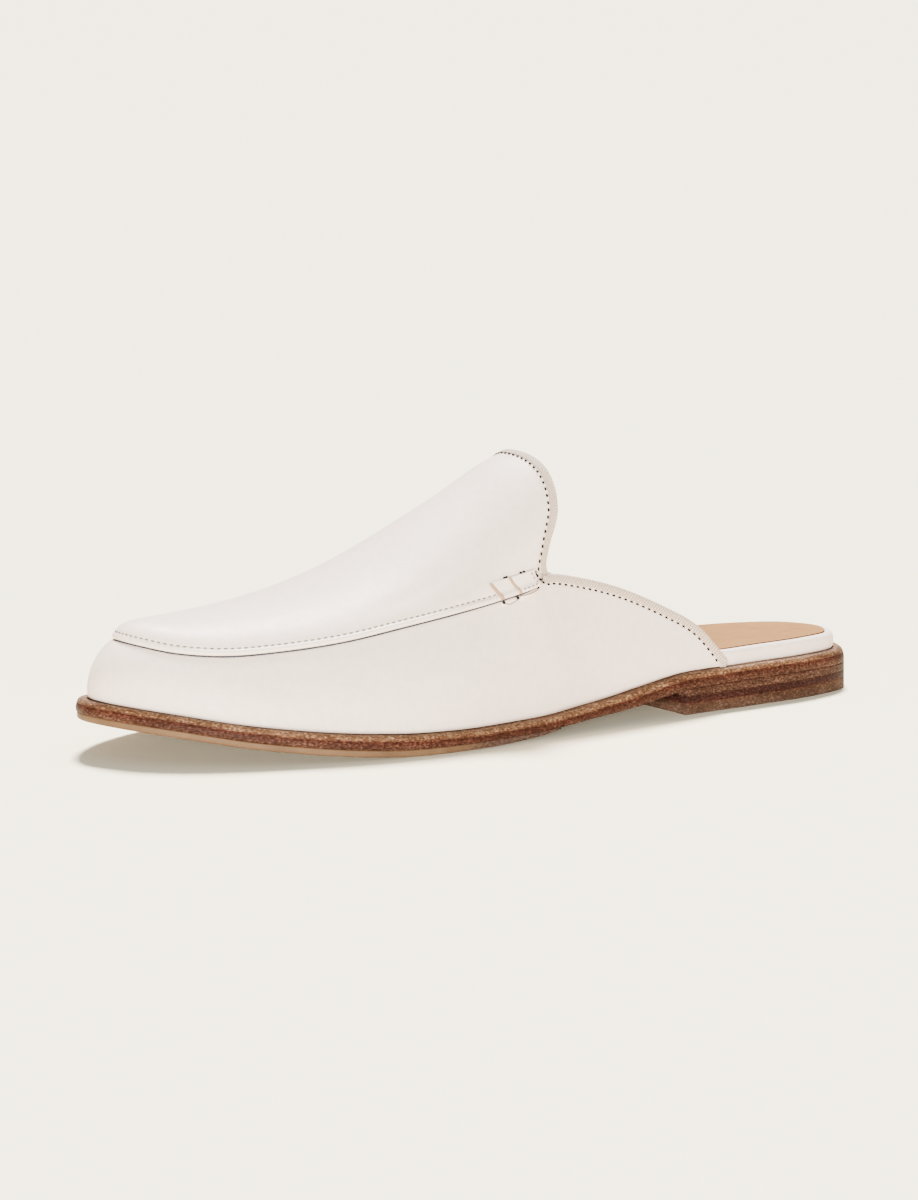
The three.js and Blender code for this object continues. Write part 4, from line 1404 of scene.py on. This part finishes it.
for label, corner in (("low", low), ("high", high)):
    for line_name, away in FROM_V_EDGE:
        sew(f"v_{label}_{line_name}_inside", v_line(corner, away), *V_STITCH, BROWN_THREAD,
            lining_surface, sink=THROUGH_LINING, flip=True)
        sew(f"v_{label}_{line_name}_outside", v_line(corner, away), *V_STITCH, GREY_THREAD,
            skirt_surface)

# %% [markdown]
# ## Lace wraps
# At each notch two flat leather strips pass over the seam. Each comes out of a slit in the
# apron, runs down over the roll, and is tucked under at its foot, where a small loop of it lies
# on the skirt. A strip is a grid measured from the seam to both sides, lifted off the surface
# by its own height, rounded a little and then given thickness.

# %% One strip over the seam
FOOT_END, ROLL_CLEAR, SLIT_END = -2.3, 1.6, 6.3  # reach over the seam; the skirt's side is negative
STRIP_COLUMNS = 17
STRIP_HEIGHT, LOOP_HEIGHT, ROLL_HEIGHT = 1.35, 1.35, 0.75


def across_seam(rows, reach, outer):
    """Points on the upper from below the seam to inside it, for each row along the seam."""
    u = rows / TURNS if outer else 1 - rows / TURNS
    below_seam = walk(skirt(u, FINE[::-1]), np.repeat(np.maximum(-reach, 0)[:, None], len(u), axis=1))
    above_seam = walk(rib(u, FINE), np.repeat(np.maximum(reach, 0)[:, None], len(u), axis=1))
    return place(np.where((reach < 0)[:, None, None], below_seam, above_seam))


def strip_over(name, first_row, last_row, lean, outer):
    """Makes one strip, and returns how far each row of its grid reaches over the seam, and the grid."""
    over_roll, on_apron = np.linspace(FOOT_END, ROLL_CLEAR, 24), np.linspace(ROLL_CLEAR, SLIT_END, 16)
    reach = np.concatenate([over_roll, on_apron[1:]])
    rows = np.linspace(first_row, last_row, STRIP_COLUMNS)
    leaning = lean * smooth_step(reach, -0.5, SLIT_END)
    smoothed = np.array([across_seam(rows + more, np.array([at]), outer)[0]
                         for at, more in zip(reach, leaning)])
    for _ in range(2):
        smoothed[1:-1] = (smoothed[:-2] + 2 * smoothed[1:-1] + smoothed[2:]) / 4
    side = np.linspace(-1, 1, STRIP_COLUMNS)[None]
    body = smooth_step(reach, -0.35, 0.2) * (1 - smooth_step(reach, 5.7, SLIT_END))
    loop = bump(reach, -1.25, 0.75)[:, None] * np.sqrt(np.clip(1 - side ** 2, 0, 1))
    over = (0.1 + STRIP_HEIGHT * body[:, None] * (1 - 0.12 * side ** 6)
            + ROLL_HEIGHT * bump(reach, 0.9, 0.9)[:, None] + LOOP_HEIGHT * loop)
    points = raise_by(smoothed, over, away_from_axis)
    mesh = bmesh.new()
    lay_grid(mesh, points)
    piece = finish_piece(name, mesh, [WHITE, RAW_EDGE], from_axis)
    thicken(piece, 1.1, 1)
    soften(piece, 0.15)
    wear(piece, slot="white_leather")
    return reach, points


# %% [markdown]
# What the eye reads on a strip this small are its lines: the crease at its foot, shown by a thin
# line of painted shade, the tan cut edge towards the toe, and the outline of its loop. Each is a
# thin sweep along a row or a column of the strip's own grid, so it can't miss the strip. The inner
# strips are mirrored, so a `hand` of -1 turns their profiles over.

# %% Painted shade of the crease, cut edge and loop of a strip
CREASE_REACH, CUT_FROM, SLIT_REACH = -0.45, 0.45, 6.05


def near_row(values, wanted):
    return int(np.argmin(np.abs(values - wanted)))


def along_strip(name, path, towards, hand, profile, material, slot):
    path = even_path(path, 0.0004)
    into, over = frames(path, np.tile(unit(towards), (len(path), 1)))
    sweep(name, path, into, over * hand, profile, material, slot)


# A thin dark tube of painted shade along the crease at the strip's foot.
def crease_shade_line(name, points, foot, hand):
    middle = 8
    along_strip(name, points[foot], points[foot + 2, middle] - points[foot, middle], hand,
                oval(0.3, 0.34), PAINTED_SHADE, "dark_thread")


def cut_edge(name, points, foot, first, last, hand):
    along_strip(name, points[first:last, -1], points[foot, -3] - points[foot, -1], hand,
                oval(0.5, 0.52), RAW_EDGE, "white_leather")


def loop_outline(name, points, reach, deep, hand):
    """Lays a thin line round the loop, and returns the loop's points, a little over the strip."""
    around = np.linspace(-1, 1, points.shape[1])
    below = CREASE_REACH - deep * np.sqrt(1 - around ** 2)
    loop = np.array([[np.interp(depth, reach, points[:, column, axis]) for axis in range(3)]
                     for column, depth in enumerate(below)])
    facing = unit(away_from_axis(loop))
    path = even_path(loop + facing * 0.0001, 0.0003)
    over = unit(away_from_axis(path))
    into = unit(np.cross(over, np.gradient(path, axis=0))) * hand
    sweep(name, path, into, over, oval(0.17, 0.2), OUTLINE_THREAD, "dark_thread")
    return loop + facing * 0.0003


# %% [markdown]
# The strip beside the notch is tacked down by a few stitches. Small dark spheres of painted shade
# show where the strips go through the leather: two at each slit, and one at each free end of a loop.

# %% Tacks and painted shade of the slits
def tack(name, reach, points, outer):
    top, low_end = near_row(reach, 4.8), near_row(reach, 1.2)
    path = np.vstack([points[top:low_end:-1, 3], points[low_end, 3:14]])
    sew(name, path, 0.0017, 1.0, 0.42, GREY_THREAD, surface_of_grid(points), flip=outer, sink=0.0)


# Dark spheres of painted shade where the strips go through the leather, in the dark thread's colour.
def slit_shade_marks(name, shade_spots, size=1.05):
    mesh = bmesh.new()
    for spot in shade_spots:
        bmesh.ops.create_uvsphere(mesh, u_segments=8, v_segments=5, radius=size / 2000,
                                  matrix=Matrix.Translation(Vector(spot)))
    wear(finish_piece(name, mesh, DARK_THREAD_AND_SHADE), slot="dark_thread")


# %% Lay the strips on both sides
WRAPS = [  # first and last row of the seam, lean, how deep the loop hangs, column of the slit's mark
    (6.8, 7.56, 0.24, 0.9, 7), (7.6, 8.06, 0.2, 1.7, 2),
]
for side_name, outer, hand in (("outer", True, 1), ("inner", False, -1)):
    shade_spots = []
    for k, (first_row, last_row, lean, deep, mark) in enumerate(WRAPS):
        name = f"{side_name}_{k + 1}"
        reach, points = strip_over(f"lace_wrap_{name}", first_row, last_row, lean, outer)
        foot, first, last = (near_row(reach, at) for at in (CREASE_REACH, CUT_FROM, SLIT_REACH))
        crease_shade_line(f"wrap_crease_shade_{name}", points, foot, hand)
        cut_edge(f"wrap_raw_edge_{name}", points, foot, first, last, hand)
        loop = loop_outline(f"wrap_loop_{name}", points, reach, deep, hand)
        shade_spots += [points[last, mark], points[last, mark + 2], loop[1]]
        if k == 0:
            tack(f"wrap_tacks_{side_name}", reach, points, outer)
        else:
            shade_spots.append(loop[-2])
    slit_shade_marks(f"wrap_slit_shade_{side_name}", shade_spots)

# %% [markdown]
# ## Stage, camera and light
# The floor is a plain pale sheet that runs far past the picture.

# %% Floor
mesh = bmesh.new()
bmesh.ops.create_grid(mesh, x_segments=1, y_segments=1, size=16.0)
pale = Finish("pale_floor", (0.97, 0.85, 0.61), 0.9, Specular_IOR_Level=0.1)
floor = finish_piece("floor", mesh, pale.material, lambda point: Vector((0, 0, 1)))

# %% [markdown]
# The camera stands low, ahead of the shoe on its outer side, with a long lens, so that the lines
# of the shoe stay nearly parallel. Aiming it is one rotation from its place towards a point in
# the shoe, followed by a roll of half a degree about its own axis.

# %% Camera
CAMERA_AT = Vector((1.27875, -0.77848, 0.25941))
AIM = Vector((-0.00436, -0.00415, 0.03675))
ROLL_DEGREES = -0.57
lens = bpy.data.cameras.new("camera")
lens.lens = 148
lens.sensor_width = 36
lens.clip_start, lens.clip_end = 0.05, 60
camera = bpy.data.objects.new("camera", lens)
bpy.context.scene.collection.objects.link(camera)
aim = (AIM - CAMERA_AT).to_track_quat("-Z", "Y").to_matrix()
roll = Matrix.Rotation(np.radians(ROLL_DEGREES), 3, "Z")
camera.matrix_world = Matrix.Translation(CAMERA_AT) @ (aim @ roll).to_4x4()
bpy.context.scene.camera = camera
print("camera", round((AIM - CAMERA_AT).length, 3), "m from its aim")

# %% [markdown]
# Three lights make the plain studio. A strong, broad one overhead, a little towards the inner
# side and the heel, lights floor and apron and throws the soft shadow towards the camera. A low,
# wide one beside the camera lights the skirt that it sees. A weak, cool surround fills the rest.

# %% Lights
def hang(light, at, towards):
    lamp = bpy.data.objects.new(light.name, light)
    lamp.location = at
    lamp.rotation_euler = (Vector(towards) - Vector(at)).to_track_quat("-Z", "Y").to_euler()
    bpy.context.scene.collection.objects.link(lamp)


world = bpy.data.worlds.new("surround")
world.use_nodes = True
background = world.node_tree.nodes["Background"]
background.inputs["Color"].default_value = (0.82, 0.93, 1.0, 1)
background.inputs["Strength"].default_value = 0.5
bpy.context.scene.world = world

overhead = bpy.data.lights.new("overhead", "SUN")
overhead.energy = 19.0
overhead.angle = np.radians(14)
hang(overhead, (-0.6, 0.37, 1.0), (0, 0, 0))

near_camera = bpy.data.lights.new("near_camera", "AREA")
near_camera.shape = "RECTANGLE"
near_camera.size, near_camera.size_y = 2.2, 0.42
near_camera.energy = 255
hang(near_camera, (2.1, -1.4, 0.24), (0, 0, 0.03))
